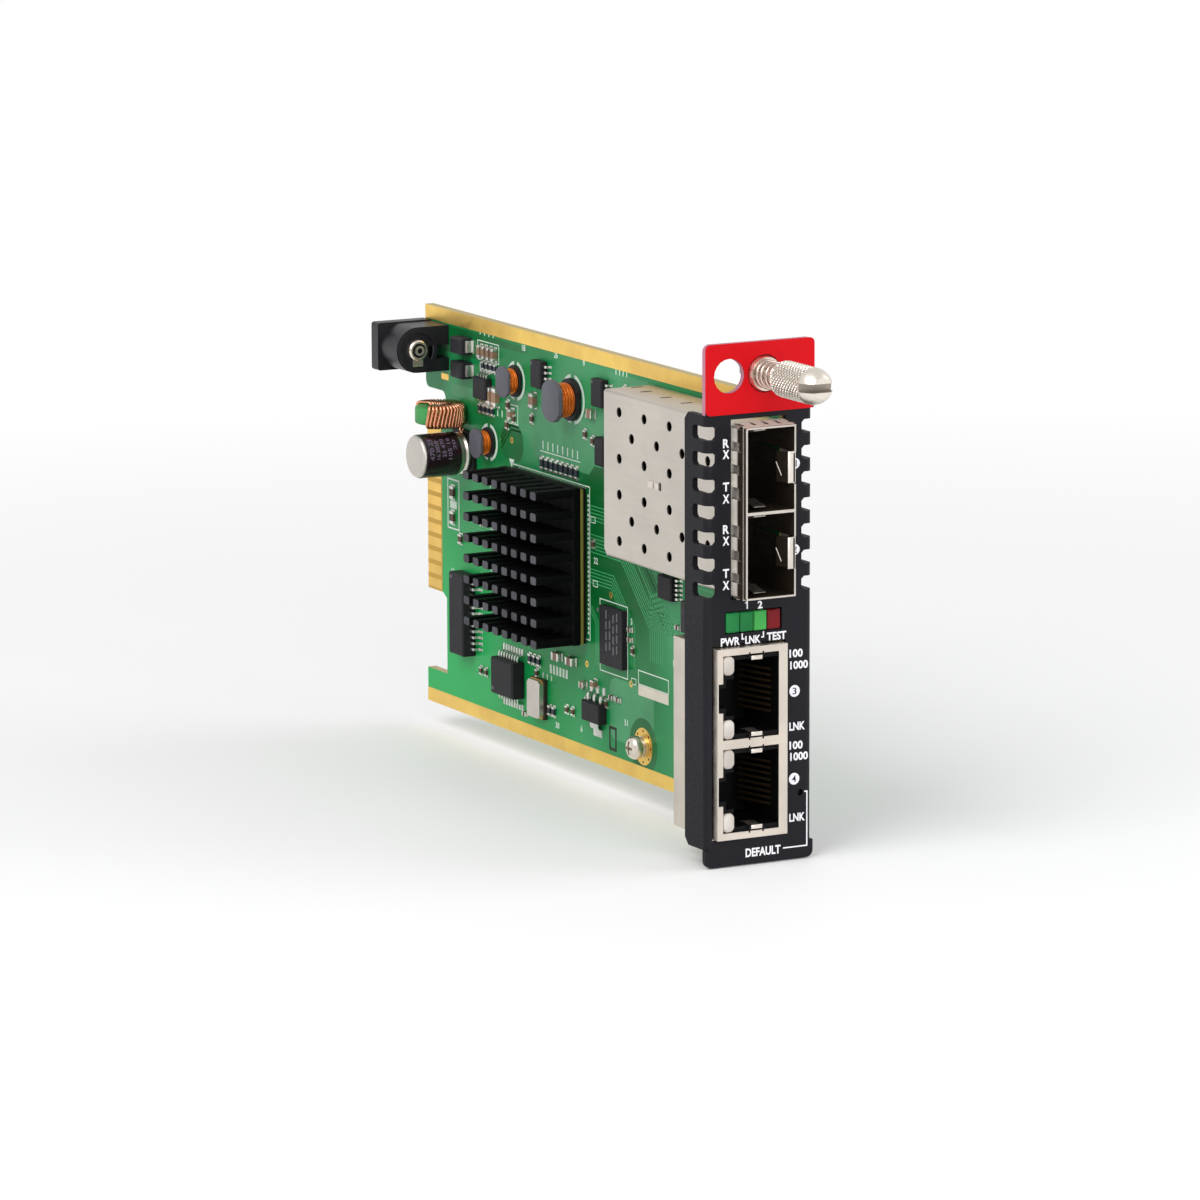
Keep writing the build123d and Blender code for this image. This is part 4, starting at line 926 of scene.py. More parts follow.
# Heatsink: base plate with eight by eight rounded pins
def make_heatsink():
    """Pin-fin heatsink, with a painted highlight that makes its pin tips paler than its sides."""
    bm = bmesh.new()
    chip_back, chip_up, substrate_t, base_t, full_h = 83.1, 39.0, 1.3, 1.6, 8.85
    add_block(bm, on_board(chip_back, chip_up, substrate_t), (27.8, 28.0, base_t), bevel=0.25, segments=3)
    for column in range(8):
        for row in range(8):
            back = chip_back + (column - 3.5) * 3.66
            up = chip_up + (row - 3.5) * 3.76
            outline = rounded(2.2, 1.5, 0.38, 4)
            base = on_board(back, up, substrate_t + base_t - 0.05)
            tall = full_h - base_t + 0.05
            add_prism(bm, base, outline, tall - 0.12)
            inner = [(x * 0.94, y * 0.92) for x, y in outline]
            count = len(outline)
            points = [base @ Vector((x, y, tall - 0.12)) for x, y in outline]
            points += [base @ Vector((x, y, tall)) for x, y in inner]
            faces = [(i, (i + 1) % count, count + (i + 1) % count, count + i) for i in range(count)]
            add_faces(bm, points, faces)
            # The tip faces take a paler copy of the anodising: a painted highlight.
            add_faces(bm, points[count:], [tuple(range(count))], slot=1)
    piece("pin_heatsink", bm, [anodised, tip_painted_highlight], replaces=["heatsink"], angle=50)
    bm = bmesh.new()
    add_block(bm, on_board(chip_back - 13.9, chip_up, 0.85), (0.5, 27.6, 0.42), bevel=0.08)
    piece("substrate_edge", bm, [substrate_rim])


make_heatsink()


# Drum inductors: back, up, radius, height
INDUCTORS = [(95.9, 68.3, 2.85, 2.9), (74.4, 67.9, 3.75, 4.55), (106.4, 55.8, 2.7, 2.9)]


def drum_outline(radius, flat):
    """Circle with two flats, front and rear."""
    return [(max(-flat, min(flat, x)), y) for x, y in circle(radius, 48)]


def add_rounded_prism(bm, matrix, outline, thick, soft, slot=0):
    """A prism whose outer rims are rounded off."""
    # Height and inset of each layer
    layers = [(0.0, -soft), (soft, 0.0), (thick - soft, 0.0), (thick - soft * 0.3, -soft * 0.3),
              (thick, -soft)]
    count = len(outline)
    points = []
    for height, inset in layers:
        for x, y in outline:
            length = math.hypot(x, y)
            points.append(matrix @ Vector((x * (1 + inset / length), y * (1 + inset / length), height)))
    faces = []
    for layer in range(len(layers) - 1):
        for i in range(count):
            j = (i + 1) % count
            faces.append((layer * count + i, layer * count + j, (layer + 1) * count + j,
                          (layer + 1) * count + i))
    faces.append(tuple(reversed(range(count))))
    faces.append(tuple(range(4 * count, 5 * count)))
    add_faces(bm, points, faces, slot)


def make_inductors():
    """Ferrite bobbins wound with enamelled wire."""
    for number, (back, up, radius, height) in enumerate(INDUCTORS, 1):
        flange = 0.22 * height
        bm = bmesh.new()
        # The lower flange and the post take the darker ferrite: painted shade under the winding and the top
        # flange.
        add_rounded_prism(bm, on_board(back, up), drum_outline(radius, 0.88 * radius), flange, 0.12, 1)
        add_prism(bm, on_board(back, up, flange), circle(0.45 * radius, 24), height - 2 * flange, 1)
        add_rounded_prism(bm, on_board(back, up, height - flange), drum_outline(radius, 0.84 * radius),
                          flange, 0.15)
        piece(f"drum_{number}", bm, [ferrite, ferrite_painted_shade], replaces=[f"inductor_core_{number}"])
        bm = bmesh.new()
        gap = height - 2 * flange
        turns = max(4, round(gap / 0.3))
        wire = gap / turns / 2
        for turn in range(turns):
            centre = on_board(back, up, flange + wire * (2 * turn + 1))
            coil_r = (0.82 if turn % 2 else 0.79) * radius - wire
            path = [centre @ Vector((x, y, 0)) for x, y in circle(coil_r, 40)]
            add_tube(bm, path, wire * 1.02, 8, closed=True)
        core = [(0.45 * radius + 0.02, flange + 0.02), (0.76 * radius - wire, flange + 0.02),
                (0.76 * radius - wire, height - flange - 0.02), (0.45 * radius + 0.02,
                                                                 height - flange - 0.02)]
        add_lathe(bm, on_board(back, up), core, 32)
        piece(f"drum_winding_{number}", bm, [enamel_wire], replaces=[f"inductor_winding_{number}"],
              angle=60)


make_inductors()


# Common-mode choke
CHOKE = (10.2, 117.0, 59.8)
CORE_IN, CORE_OUT, CORE_H = 2.1, 4.3, 3.1
WIRE_R = 0.3


def make_choke():
    """Painted ring core and its round-wire winding with leads down to the board."""
    centre = plane(spot(*CHOKE), (1, 0, 0), (0, 1, 0))
    soft = 0.35
    half = CORE_H / 2
    profile = [(CORE_IN, -half + soft), (CORE_IN + soft * 0.3, -half + soft * 0.3), (CORE_IN + soft, -half),
               (CORE_OUT - soft, -half), (CORE_OUT - soft * 0.3, -half + soft * 0.3), (CORE_OUT,
                                                                                       -half + soft),
               (CORE_OUT, half - soft), (CORE_OUT - soft * 0.3, half - soft * 0.3), (CORE_OUT - soft, half),
               (CORE_IN + soft, half), (CORE_IN + soft * 0.3, half - soft * 0.3), (CORE_IN, half - soft),
               (CORE_IN, -half + soft)]
    bm = bmesh.new()
    add_lathe(bm, centre, profile, 56)
    piece("choke_ring", bm, [core_paint], replaces=["choke_core"], angle=50)
    bm = bmesh.new()
    turns = 31
    first, sweep = -141, 257
    for turn in range(turns):
        angle = math.radians(first + turn * sweep / (turns - 1))
        # Inside the ring every other turn lies on top of its neighbours
        inner = CORE_IN - WIRE_R - (0.56 if turn % 2 else 0.03)
        outer = CORE_OUT + WIRE_R + 0.03
        middle = (inner + outer) / 2
        path = []
        for x, z in rounded(outer - inner, CORE_H + 2 * WIRE_R + 0.06, 0.6, 4):
            lean = 0.045 * (x / 1.2) * (1 if z > 0 else -1)
            spin = Matrix.Rotation(angle + lean, 4, "Z")
            path.append(centre @ (spin @ Vector((middle + x, 0, z))))
        add_tube(bm, path, WIRE_R, 10, closed=True)
    # Leads from the first and last turns to the board
    for back, up in ((115.3, 58.2), (118.6, 61.2)):
        start = spot(CHOKE[0] + 2.6, back, up)
        end = spot(BOARD_ACROSS, back, up)
        add_tube(bm, [start, (start + end) / 2, end], WIRE_R, 10)
    # Cut end of the wire, curled back at the front
    loop = [spot(12.6 + 0.5 * math.cos(turn), 113.0 - 0.2 * turn, 57.4 + 0.5 * math.sin(turn))
            for turn in steps(-1.2, 4.2, 14)]
    add_tube(bm, loop, 0.17, 8)
    piece("choke_turns", bm, [bare_copper], replaces=["choke_winding"], angle=60)


make_choke()


# Electrolytic capacitor
CAP_BACK, CAP_UP, CAP_R, CAP_H = 115.3, 52.7, 3.85, 10.5


def make_capacitor():
    """Can with a rolled rim and a crimp, and its printed sleeve."""
    base = on_board(CAP_BACK, CAP_UP)
    profile = [(0, 0.8), (3.3, 0.8), (3.62, 0.9), (3.8, 1.15), (3.8, 1.45), (3.5, 1.8), (3.5, 1.95),
               (3.8, 2.3),
               (CAP_R, 2.5), (CAP_R, CAP_H - 0.6), (CAP_R - 0.05, CAP_H - 0.35), (CAP_R - 0.18, CAP_H - 0.13),
               (CAP_R - 0.45, CAP_H), (CAP_R - 0.75, CAP_H - 0.04), (CAP_R - 0.95, CAP_H - 0.12),
               (0, CAP_H - 0.12)]
    bm = bmesh.new()
    add_lathe(bm, base, profile, 72)
    piece("capacitor_body", bm, [can_metal], replaces=["capacitor_can"], angle=40)
    bm = bmesh.new()
    sleeve_r = CAP_R + 0.12
    tube = [(CAP_R + 0.01, 2.85), (sleeve_r, 2.9), (sleeve_r, 9.75), (CAP_R + 0.08, 9.9),
            (CAP_R + 0.01, 9.95), (CAP_R + 0.01, 2.85)]
    add_lathe(bm, base, tube, 72)
    piece("capacitor_wrap", bm, [sleeve], replaces=["capacitor_sleeve"], angle=40)
    # Plain figures round the sleeve, read along the can
    bm = bmesh.new()
    for words, turn, lift, cap, width in [
        ("470 25", 26, 8.8, 0.95, 4.2), ("105", 34, 7.6, 0.7, 2.2), ("16 20", 14, 7.6, 0.7, 2.2),
        ("25 470", 28, 6.4, 0.8, 3.6), ("105 16", 26, 5.2, 0.8, 4.2), ("20", 34, 4.1, 0.7, 2.0),
        ("470 25", 206, 8.8, 0.95, 4.2), ("105", 208, 7.6, 0.7, 2.2),
    ]:
        angle = math.radians(turn)
        out = base.to_3x3() @ Vector((math.cos(angle), math.sin(angle), 0))
        tangent = base.to_3x3() @ Vector((-math.sin(angle), math.cos(angle), 0))
        place = base @ Vector((0, 0, lift)) + out * sleeve_r
        flat = bmesh.new()
        add_text(flat, plane(place, tangent, out.cross(tangent)), words, cap, width, thick=0.02)
        centre = base @ Vector((0, 0, 0))
        normal = base.to_3x3() @ Vector((0, 0, 1))
        for vertex in flat.verts:
            away = vertex.co - centre
            bend = away.dot(tangent) / sleeve_r
            spoke = out * math.cos(bend) + tangent * math.sin(bend)
            vertex.co = centre + normal * away.dot(normal) + spoke * away.dot(out)
        spare = bpy.data.meshes.new("flat")
        flat.to_mesh(spare)
        flat.free()
        bm.from_mesh(spare)
        bpy.data.meshes.remove(spare)
    piece("capacitor_figures", bm, [sleeve_mark], angle=30)


make_capacitor()


# Power jack: barrel on two legs, flange at the rear, riveted eyelet at the front
def make_power_jack():
    """Moulded body with its socket, and the hollow rivet, with painted shade round it and in its hole."""
    across, up, front, flange, rear, barrel_r, leg_x = 8.5, 70.9, 122.0, 128.8, 131.3, 4.15, 2.3
    bm = bmesh.new()
    arc = [(barrel_r * math.cos(turn), barrel_r * math.sin(turn)) for turn in steps(math.pi / 2,
                                                                                    math.pi * 1.5, 28)]
    add_prism(bm, on_face(across, up, -flange), [(leg_x, -barrel_r), (leg_x, barrel_r)] + arc, flange - front)
    for low, high in ((-barrel_r, -1.8), (0.6, barrel_r)):
        leg = [(leg_x - 0.1, low), (6.4, low), (6.4, high), (leg_x - 0.1, high)]
        add_prism(bm, on_face(across, up, -flange), leg, flange - front)
    add_prism(bm, on_face(9.4, 70.95, -rear), rounded(11.0, 8.7, 0.5), rear - flange + 0.1)
    add_ring(bm, on_face(across, up, -front - 0.1), 3.2, 3.95, 0.5)
    body = piece("jack_body", bm, [jack_plastic], replaces=["dc_jack_housing"],
                 angle=40)
    cutter = bmesh.new()
    add_prism(cutter, on_face(across, up, -rear - 0.5), circle(3.15, 40), 8.9)
    add_prism(cutter, on_face(across, up, -front - 2), circle(1.02, 24), 3)
    cut_away(body, cutter)
    soften(body, 0.12)
    bm = bmesh.new()
    # Black ring round the eyelet and black disc in its hole: painted shade.
    add_ring(bm, on_face(across, up, 0.76 - front), 0.92, 1.3, 0.03, slot=1)
    add_ring(bm, on_face(across, up, 0.76 - front), 0.5, 0.9, 0.35)
    add_prism(bm, on_face(across, up, 0.76 - front), circle(0.5, 24), 0.02, slot=1)
    piece("jack_rivet", bm, [nickel, black_with_cavity_shade])


make_power_jack()


# RJ45 details: lenses and the sprung tabs at each mouth
def make_lenses():
    """Milky light pipes with domed fronts, a little narrower at the waist."""
    number = 1
    for centre in (28.9, 13.1):
        for side in (1, -1):
            bm = bmesh.new()
            base = plane(spot(3.7, 2.9, centre + side * 5.4), (1, 0, 0), (0, 0, 1))
            outline = [(x * (1 - 0.13 * math.exp(-(y / 0.45) ** 2)), y) for x,
                       y in rounded(2.2, 3.3, 0.98, 10)]
            count = len(outline)
            layers = [(1.0, 0.0), (1.0, 4.0), (0.97, 4.2), (0.88, 4.4), (0.72, 4.55), (0.45, 4.65),
                      (0.2, 4.68)]
            points = [base @ Vector((x * s, y * s, h)) for s, h in layers for x, y in outline]
            faces = [tuple(reversed(range(count)))]
            for layer in range(len(layers) - 1):
                for i in range(count):
                    j = (i + 1) % count
                    faces.append((layer * count + i, layer * count + j, (layer + 1) * count + j,
                                  (layer + 1) * count + i))
            last = (len(layers) - 1) * count
            faces.append(tuple(range(last, last + count)))
            add_faces(bm, points, faces)
            piece(f"port_lens_{number}", bm, [lens_milky], replaces=[f"rj45_led_{number}"],
                  angle=60)
            number += 1


def make_port_tabs():
    """Spring tabs of the shield at the upper and lower edge of each mouth."""
    bm = bmesh.new()
    for centre in (28.9, 13.1):
        for side in (1, -1):
            edge = centre + side * 6.55
            add_block(bm, on_face(8.9, edge - side * 0.1, 1.52), (2.1, 0.7, 0.12), bevel=0.04)
            side_plane = plane(spot(8.9, -1.5, edge), (0, 1, 0), (0, 0, side))
            add_strip(bm, side_plane, [(0.0, 0.1), (0.4, -0.1), (2.4, -0.5), (4.4, -0.2)], 0.16, 1.9)
            # Thin black marks beside each tab: painted shade in the slits round it
            for shift in (-1.3, 1.3):
                add_block(bm, on_face(8.9 + shift, edge + side * 0.3, 1.5), (0.3, 1.1, 0.03), slot=1)
        # Edge of the shield's side wall, past the gap for the plug's latch
        add_block(bm, on_face(1.6, centre, -2.0), (0.2, 5.0, 3.5))
    piece("port_tabs", bm, [nickel_painted_highlight, black_plastic])


make_lenses()
make_port_tabs()


def make_lamp_block():
    """Rear half of the lamp holder, over the ports."""
    bm = bmesh.new()
    add_block(bm, on_face(8.3, 40.25, -14.0), (10.6, 5.4, 6.0), bevel=0.15)
    piece("lamp_holder_block", bm, [black_plastic])


make_lamp_block()


# Optical cage details
def make_cage_details():
    """Embossed stop, slits of the fixing tabs, latch plates and the inner springs of each bay, with a painted
    glint by each latch and black films of painted shade over the slits.
    """
    bm = bmesh.new()
    for back, length in ((28.4, 1.7), (26.3, 1.4)):
        place = plane(spot(5.3, back, 60.35), (0, -1, 0), (0, 0, 1))
        add_block(bm, place, (length, 1.25, 0.14), bevel=0.1)
    for centre in (52.9, 67.3):
        add_block(bm, on_face(13.95, centre, 4.1), (1.45, 5.3, 0.25), bevel=0.06)
        for side in (-1, 1):
            wall = centre + side * 6.55
            side_plane = plane(spot(8.6, -3.0, wall), (0, 1, 0), (0, 0, -side))
            add_strip(bm, side_plane, [(0, 0.15), (3.5, 0.9), (7.5, 0.5), (9.5, 0.12)], 0.15, 2.2)
        # A thin bright wire across each latch tongue: a painted glint on the tongue's hump.
        add_tube(bm, [spot(11.7, -3.0, centre + 0.9), spot(12.5, -3.4, centre - 1.4)], 0.11, 8)
    piece("cage_springs_and_glint", bm, [nickel_painted_highlight])
    bm = bmesh.new()
    # Black films over the slits: painted shade in the openings
    for across, back in ((11.2, 44.0), (10.1, 38.8), (9.9, 31.4), (10.0, 24.4)):
        add_prism(bm, level(across, back, 74.41), rounded(2.2, 0.6, 0.2, 3), 0.02)
    add_prism(bm, plane(spot(5.28, 25.1, 60.35), (0, -1, 0), (0, 0, 1)), rounded(0.5, 1.4, 0.15, 3), 0.03)
    piece("cage_slits", bm, [black_plastic])


make_cage_details()


def make_gasket():
    """Spring-finger gasket: band and rows of bowed fingers."""
    bm = bmesh.new()
    left, right, low, high = 5.3, 14.74, 45.6, 74.4
    front = -3.45
    band = 0.12
    for across in (left - band / 2, right + band / 2):
        add_block(bm, level(across, front + 0.45, low), (band, 0.9, high - low))
    for up in (low - band, high):
        add_block(bm, level((left + right) / 2, front + 0.45, up), (right - left + 2 * band, 0.9, band))
    bow = [(0.0, 0.06), (0.9, 0.12), (2.2, 0.34), (3.1, 0.4), (3.9, 0.26), (4.35, 0.12)]
    for offset, width in [(-12.9, 2.2), (-9.1, 2.2), (-5.3, 2.2), (0, 4.3), (5.3, 2.2), (9.1, 2.2),
                          (12.9, 2.2)]:
        for wall, outward in ((left, -1), (right, 1)):
            side_plane = plane(spot(wall, front, 60.0 + offset), (0, 1, 0), (outward, 0, 0))
            add_strip(bm, side_plane, bow, band, width)
    for offset in (-3.3, -1.0, 1.3, 3.6):
        for wall, outward in ((low, -1), (high, 1)):
            side_plane = plane(spot((left + right) / 2 + offset, front, wall), (0, 1, 0), (0, 0, outward))
            add_strip(bm, side_plane, bow, band, 1.7)
    piece("gasket_fingers", bm, [gasket_metal], replaces=["sfp_gasket"], angle=50)


make_gasket()


# Board screw
def make_board_screw():
    """Pan head with a cross recess and a lock washer, on a gold pad ringed by plated holes."""
    base = on_board(48.8, 10.5)
    profile = [(0, -3.9), (1.25, -3.9), (1.25, 0.0), (1.7, 0.05), (1.9, 0.1), (1.9, 0.45), (1.5, 0.5),
               (1.5, 0.8),
               (1.75, 0.85), (2.05, 1.1), (2.1, 1.7), (1.98, 2.2), (1.75, 2.55), (1.35, 2.8), (0.8,
                                                                                               2.95), (0,
                                                                                                       3.0)]
    bm = bmesh.new()
    add_lathe(bm, base, profile, 40)
    screw = piece("cross_head_screw", bm, [nickel], replaces=["board_screw"], angle=35)
    cutter = bmesh.new()
    for length, height in ((2.3, 0.5), (0.5, 2.3)):
        add_block(cutter, on_board(48.8, 10.5, 2.1), (length, height, 1.4))
    cut_away(screw, cutter)
    bm = bmesh.new()
    add_ring(bm, base, 1.6, 3.3, 0.05)
    # The plated holes are dark dots: painted shade in the holes.
    for x, y in circle(2.75, 8):
        add_prism(bm, on_board(48.8 - x, 10.5 + y, 0.05), circle(0.22, 12), 0.01, slot=1)
    piece("screw_pad", bm, [gold_contact, gold_in_painted_shade])


make_board_screw()


# Silkscreen, traces and solder on the board
def box_path(back_a, back_b, up_a, up_b):
    """Closed rectangle on the component side, as plane points of on_board(0, 0)."""
    return [(-back_a, up_a), (-back_b, up_a), (-back_b, up_b), (-back_a, up_b), (-back_a, up_a)]


def arc_path(back, up, radius, first, last):
    """Arc on the component side, angles in degrees."""
    turns = [math.radians(angle) for angle in steps(first, last, 14)]
    return [(-back + radius * math.cos(turn), up + radius * math.sin(turn)) for turn in turns]


def make_silkscreen():
    """White frames, bars, ticks and plain figures round the parts."""
    bm = bmesh.new()
    face = on_board(0, 0)
    line = 0.18
    add_ribbon(bm, face, [(-97.6, 53.2), (-68.2, 53.2), (-68.2, 26.0), (-69.6, 26.0)], 0.22)
    add_prism(bm, face, [(-98.6, 54.0), (-96.6, 54.0), (-97.6, 52.5)][::-1], INK)
    for index in range(28):
        add_ribbon(bm, face, [(-94.6 + index * 0.92, 52.9), (-94.6 + index * 0.92, 52.35)], 0.3)
    for index in range(30):
        place = on_board(68.75, 51.6 - index * 0.84)
        add_prism(bm, place, rounded(0.42, 0.5, 0.12, 2), INK)
    for corners in [(64.5, 54.4, 21.4, 34.1), (50.5, 39.7, 21.3, 23.7),
                    (110.6, 102.4, 70.4, 73.8), (99.4, 95.2, 60.4, 63.8)]:
        add_ribbon(bm, face, box_path(*corners), line)
    add_prism(bm, on_board(45.1, 20.3), rounded(10.8, 1.9, 0.1, 2), INK, slot=1)
    add_ribbon(bm, face, box_path(61.0, 58.8, 8.0, 11.8), 0.5, slot=2)
    for index in range(6):
        add_ribbon(bm, face, [(-83.0 + index * 1.2, 19.2), (-83.0 + index * 1.2, 17.6)], 0.7)
    for back, up, radius, _ in INDUCTORS:
        add_ribbon(bm, face, arc_path(back, up, radius + 0.4, -80, 80), 0.6)
        add_ribbon(bm, face, arc_path(back, up, radius + 0.4, 100, 260), 0.6)
    add_ribbon(bm, face, [(-86.6, 57.1), (-71.6, 57.1)], 0.16)
    add_ribbon(bm, face, box_path(122.8, 118.4, 37.9, 46.9), 0.3)
    add_prism(bm, on_board(120.6, 42.3), rounded(2.6, 1.4, 0.1, 2), INK)
    # Upright dashes over the rows of small parts
    for first_back, count, pitch, up, tall in [
        (85.6, 8, 1.85, 57.5, 1.5), (109.6, 4, 1.7, 74.9, 1.1), (109.6, 5, 1.4, 68.3, 1.6), (99.6, 3, 1.5,
                                                                                             66.2, 1.2),
        (104.6, 3, 1.7, 61.0, 1.2), (92.0, 4, 1.6, 24.0, 1.2), (86.0, 3, 1.6, 16.2, 1.0), (58.4, 4, 1.3,
                                                                                           74.4, 1.2),
    ]:
        for index in range(count):
            back = first_back - index * pitch
            add_ribbon(bm, face, [(-back, up), (-back, up + tall)], 0.3)
    figures = ["12", "7", "31", "4", "18", "26", "9", "45", "3", "22", "14", "38", "6", "51", "17", "29"]
    places = [(121.0, 30.0), (104.6, 50.4), (104.8, 44.0), (104.9, 36.0), (92.8, 74.6), (80.6, 74.9),
              (70.2, 74.8),
              (57.4, 63.6), (53.0, 31.8), (66.0, 40.5), (103.6, 12.6), (80.6, 8.6), (71.5, 9.6), (55.0, 13.6),
              (37.4, 27.0), (110.6, 34.0)]
    for words, (back, up) in zip(figures, places):
        add_text(bm, on_board(back, up), words, 1.1)
    for back, up in [(105.2, 47.6), (105.2, 40.6), (105.0, 32.6), (67.0, 47.6), (66.2, 36.4), (52.2, 21.4)]:
        add_ribbon(bm, on_board(back, up), box_path(0.8, -0.8, -0.5, 0.5), 0.14)
    piece("silkscreen_front", bm, [silk, silk_block, gap_shade_and_dark_ink], angle=30)
    bm = bmesh.new()
    back_face = on_solder(0, 0)
    chip_outline = [(70.0, 26.0), (96.6, 26.0), (96.6, 52.2), (70.0, 52.2), (70.0, 26.0)]
    add_ribbon(bm, back_face, chip_outline, line)
    for words, back, up in [("1", 124.2, 24.6), ("12", 122.6, 56.8), ("3", 20.0, 28.9), ("4", 20.0, 13.1),
                            ("1", 48.2, 67.1), ("2", 48.2, 52.9)]:
        add_text(bm, on_solder(back, up), words, 1.6)
    piece("silkscreen_back", bm, [silk], angle=30)


def shifted(path, distance):
    """The path moved sideways by a distance, corners kept parallel."""
    path = [Vector(point) for point in path]
    moved = []
    for index, point in enumerate(path):
        before = (point - path[index - 1]).normalized() if index else None
        after = (path[index + 1] - point).normalized() if index < len(path) - 1 else None
        before = before or after
        after = after or before
        ahead = (before + after).normalized()
        normal = Vector((-ahead.y, ahead.x))
        reach = distance / max(0.4, normal.dot(Vector((-after.y, after.x))))
        moved.append(tuple(point + normal * reach))
    return moved


def make_traces():
    """Bundles of parallel copper lines under the mask, on both faces."""
    bm = bmesh.new()
    face = on_board(0, 0)
    # Path as (back, up), number of lines, pitch
    for path, count, pitch in [
        ([(68.0, 48.8), (52.0, 48.8), (46.0, 42.8), (24.0, 42.8)], 5, 0.62),
        ([(68.0, 43.4), (56.0, 43.4), (46.0, 33.4), (30.0, 33.4)], 6, 0.62),
        ([(68.0, 37.6), (60.0, 37.6), (53.0, 30.6), (53.0, 24.0)], 5, 0.6),
        ([(56.0, 50.5), (44.0, 38.5), (44.0, 26.0)], 7, 0.75),
        ([(51.0, 44.5), (38.0, 31.5), (24.0, 31.5)], 5, 0.7),
        ([(68.0, 32.0), (65.6, 29.6), (65.6, 22.0)], 3, 0.5),
        ([(98.0, 45.0), (104.0, 39.0), (119.0, 39.0), (123.0, 39.0)], 4, 0.62),
        ([(98.0, 33.0), (106.0, 33.0), (108.6, 30.4), (110.0, 30.4)], 5, 0.62),
        ([(76.0, 53.6), (76.0, 60.5), (68.0, 68.5)], 4, 0.6),
        ([(92.0, 24.4), (92.0, 19.0)], 6, 0.62),
        ([(90.0, 60.0), (98.0, 60.0), (102.0, 56.0)], 3, 0.7),
    ]:
        line = [(-back, up) for back, up in path]
        for index in range(count):
            add_ribbon(bm, face, shifted(line, (index - (count - 1) / 2) * pitch), 0.2, 0.012)
    piece("traces_front", bm, [trace_green], angle=30)
    bm = bmesh.new()
    face = on_solder(0, 0)
    for path, count, pitch in [
        ([(14.0, 33.0), (30.0, 33.0), (38.0, 41.0), (70.0, 41.0)], 8, 0.7),
        ([(14.0, 15.0), (34.0, 15.0), (50.0, 31.0), (70.0, 31.0)], 8, 0.7),
        ([(44.0, 67.0), (62.0, 67.0), (72.0, 57.0), (72.0, 53.0)], 6, 0.7),
        ([(44.0, 53.0), (58.0, 53.0), (64.0, 47.0), (70.0, 47.0)], 6, 0.7),
        ([(96.0, 36.0), (110.0, 36.0), (116.0, 42.0), (124.6, 42.0)], 8, 0.9),
        ([(96.0, 30.0), (124.6, 30.0)], 4, 1.0),
        ([(84.0, 26.0), (84.0, 16.0), (92.0, 8.0), (120.0, 8.0)], 5, 0.8),
    ]:
        for index in range(count):
            add_ribbon(bm, face, shifted(path, (index - (count - 1) / 2) * pitch), 0.22, 0.012)
    piece("traces_back", bm, [trace_green], angle=30)


def make_pours():
    """Copper areas and keep-outs that show through the mask as paler and deeper greens."""
    bm = bmesh.new()
    face = on_board(0, 0)
    for outline in [
        [(-99.5, 67.0), (-57.0, 67.0), (-50.0, 60.0), (-50.0, 57.2), (-66.5, 57.2), (-68.4, 55.4),
         (-88.0, 55.4),
         (-92.0, 59.4), (-99.5, 59.4)],
        [(-62.0, 74.6), (-46.8, 74.6), (-46.8, 62.0), (-51.5, 62.0), (-56.9, 67.4)],
        [(-121.0, 64.6), (-112.0, 64.6), (-112.0, 62.4), (-121.0, 62.4)],
    ]:
        add_prism(bm, face, outline[::-1], 0.006)
    add_prism(bm, on_board(53.0, 15.4), rounded(16.0, 11.0, 2.0), 0.004)
    bm_deep = bmesh.new()
    add_prism(bm_deep, on_board(97.5, 57.0), rounded(8.6, 6.8, 2.9), 0.012)
    add_prism(bm_deep, on_board(48.8, 10.5), circle(5.0, 40), 0.012)
    add_prism(bm_deep, on_board(118.6, 72.6), rounded(21.0, 4.8, 0.6), 0.012)
    add_prism(bm_deep, on_board(99.5, 74.2), rounded(16.0, 1.2, 0.4), 0.012)
    piece("pours", bm, [pour_green], angle=30)
    piece("keep_outs", bm_deep, [deep_green], angle=30)


def add_joint(bm, matrix, radius, height):
    """A solder cone over a pin end."""
    add_lathe(bm, matrix, [(radius, 0), (radius * 0.8, height * 0.25), (radius * 0.5, height * 0.6),
                           (radius * 0.36, height), (0, height)], 14)


def make_solder():
    """Joints of the through-hole pins on the solder side, plated holes and test pads."""
    bm = bmesh.new()
    pins = []
    for centre in (13.1, 28.9):
        pins += [(4.6 + 2.54 * (index % 2), centre + (index - 3.5) * 1.27) for index in range(8)]
        pins += [(11.4, centre - 5.4), (11.4, centre + 5.4)]
    pins += [(5.2 + (index % 2) * 2.0, 40.2 + 0.66 * index) for index in range(4)]
    for up in (46.6, 59.4, 60.6, 73.4):
        pins += [(back, up) for back in (9.0, 18.0, 27.0, 36.0)]
    pins += [(125.0, 67.3), (125.0, 74.4), (129.4, 70.9), (118.6, 61.2), (115.3, 58.2)]
    for back, up in pins:
        add_joint(bm, on_solder(back, up), 0.62, 0.7)
    piece("solder_joints", bm, [tin], angle=50)
    bm = bmesh.new()
    for back, up in [(97.5, 57.4), (60.5, 35.3), (69.4, 21.6), (53.2, 20.8), (120.6, 72.6)]:
        add_ring(bm, on_board(back, up), 0.25, 0.6, 0.03, count=20)
    add_prism(bm, on_board(123.6, 65.4), rounded(2.9, 1.1, 0.3), 0.03)
    for index in range(46):
        back = random.uniform(20, 120)
        up = random.uniform(8, 74)
        add_prism(bm, on_solder(back, up), circle(0.3, 12), 0.02)
    piece("test_pads", bm, [gold_contact])


make_silkscreen()
make_traces()
make_pours()
make_solder()


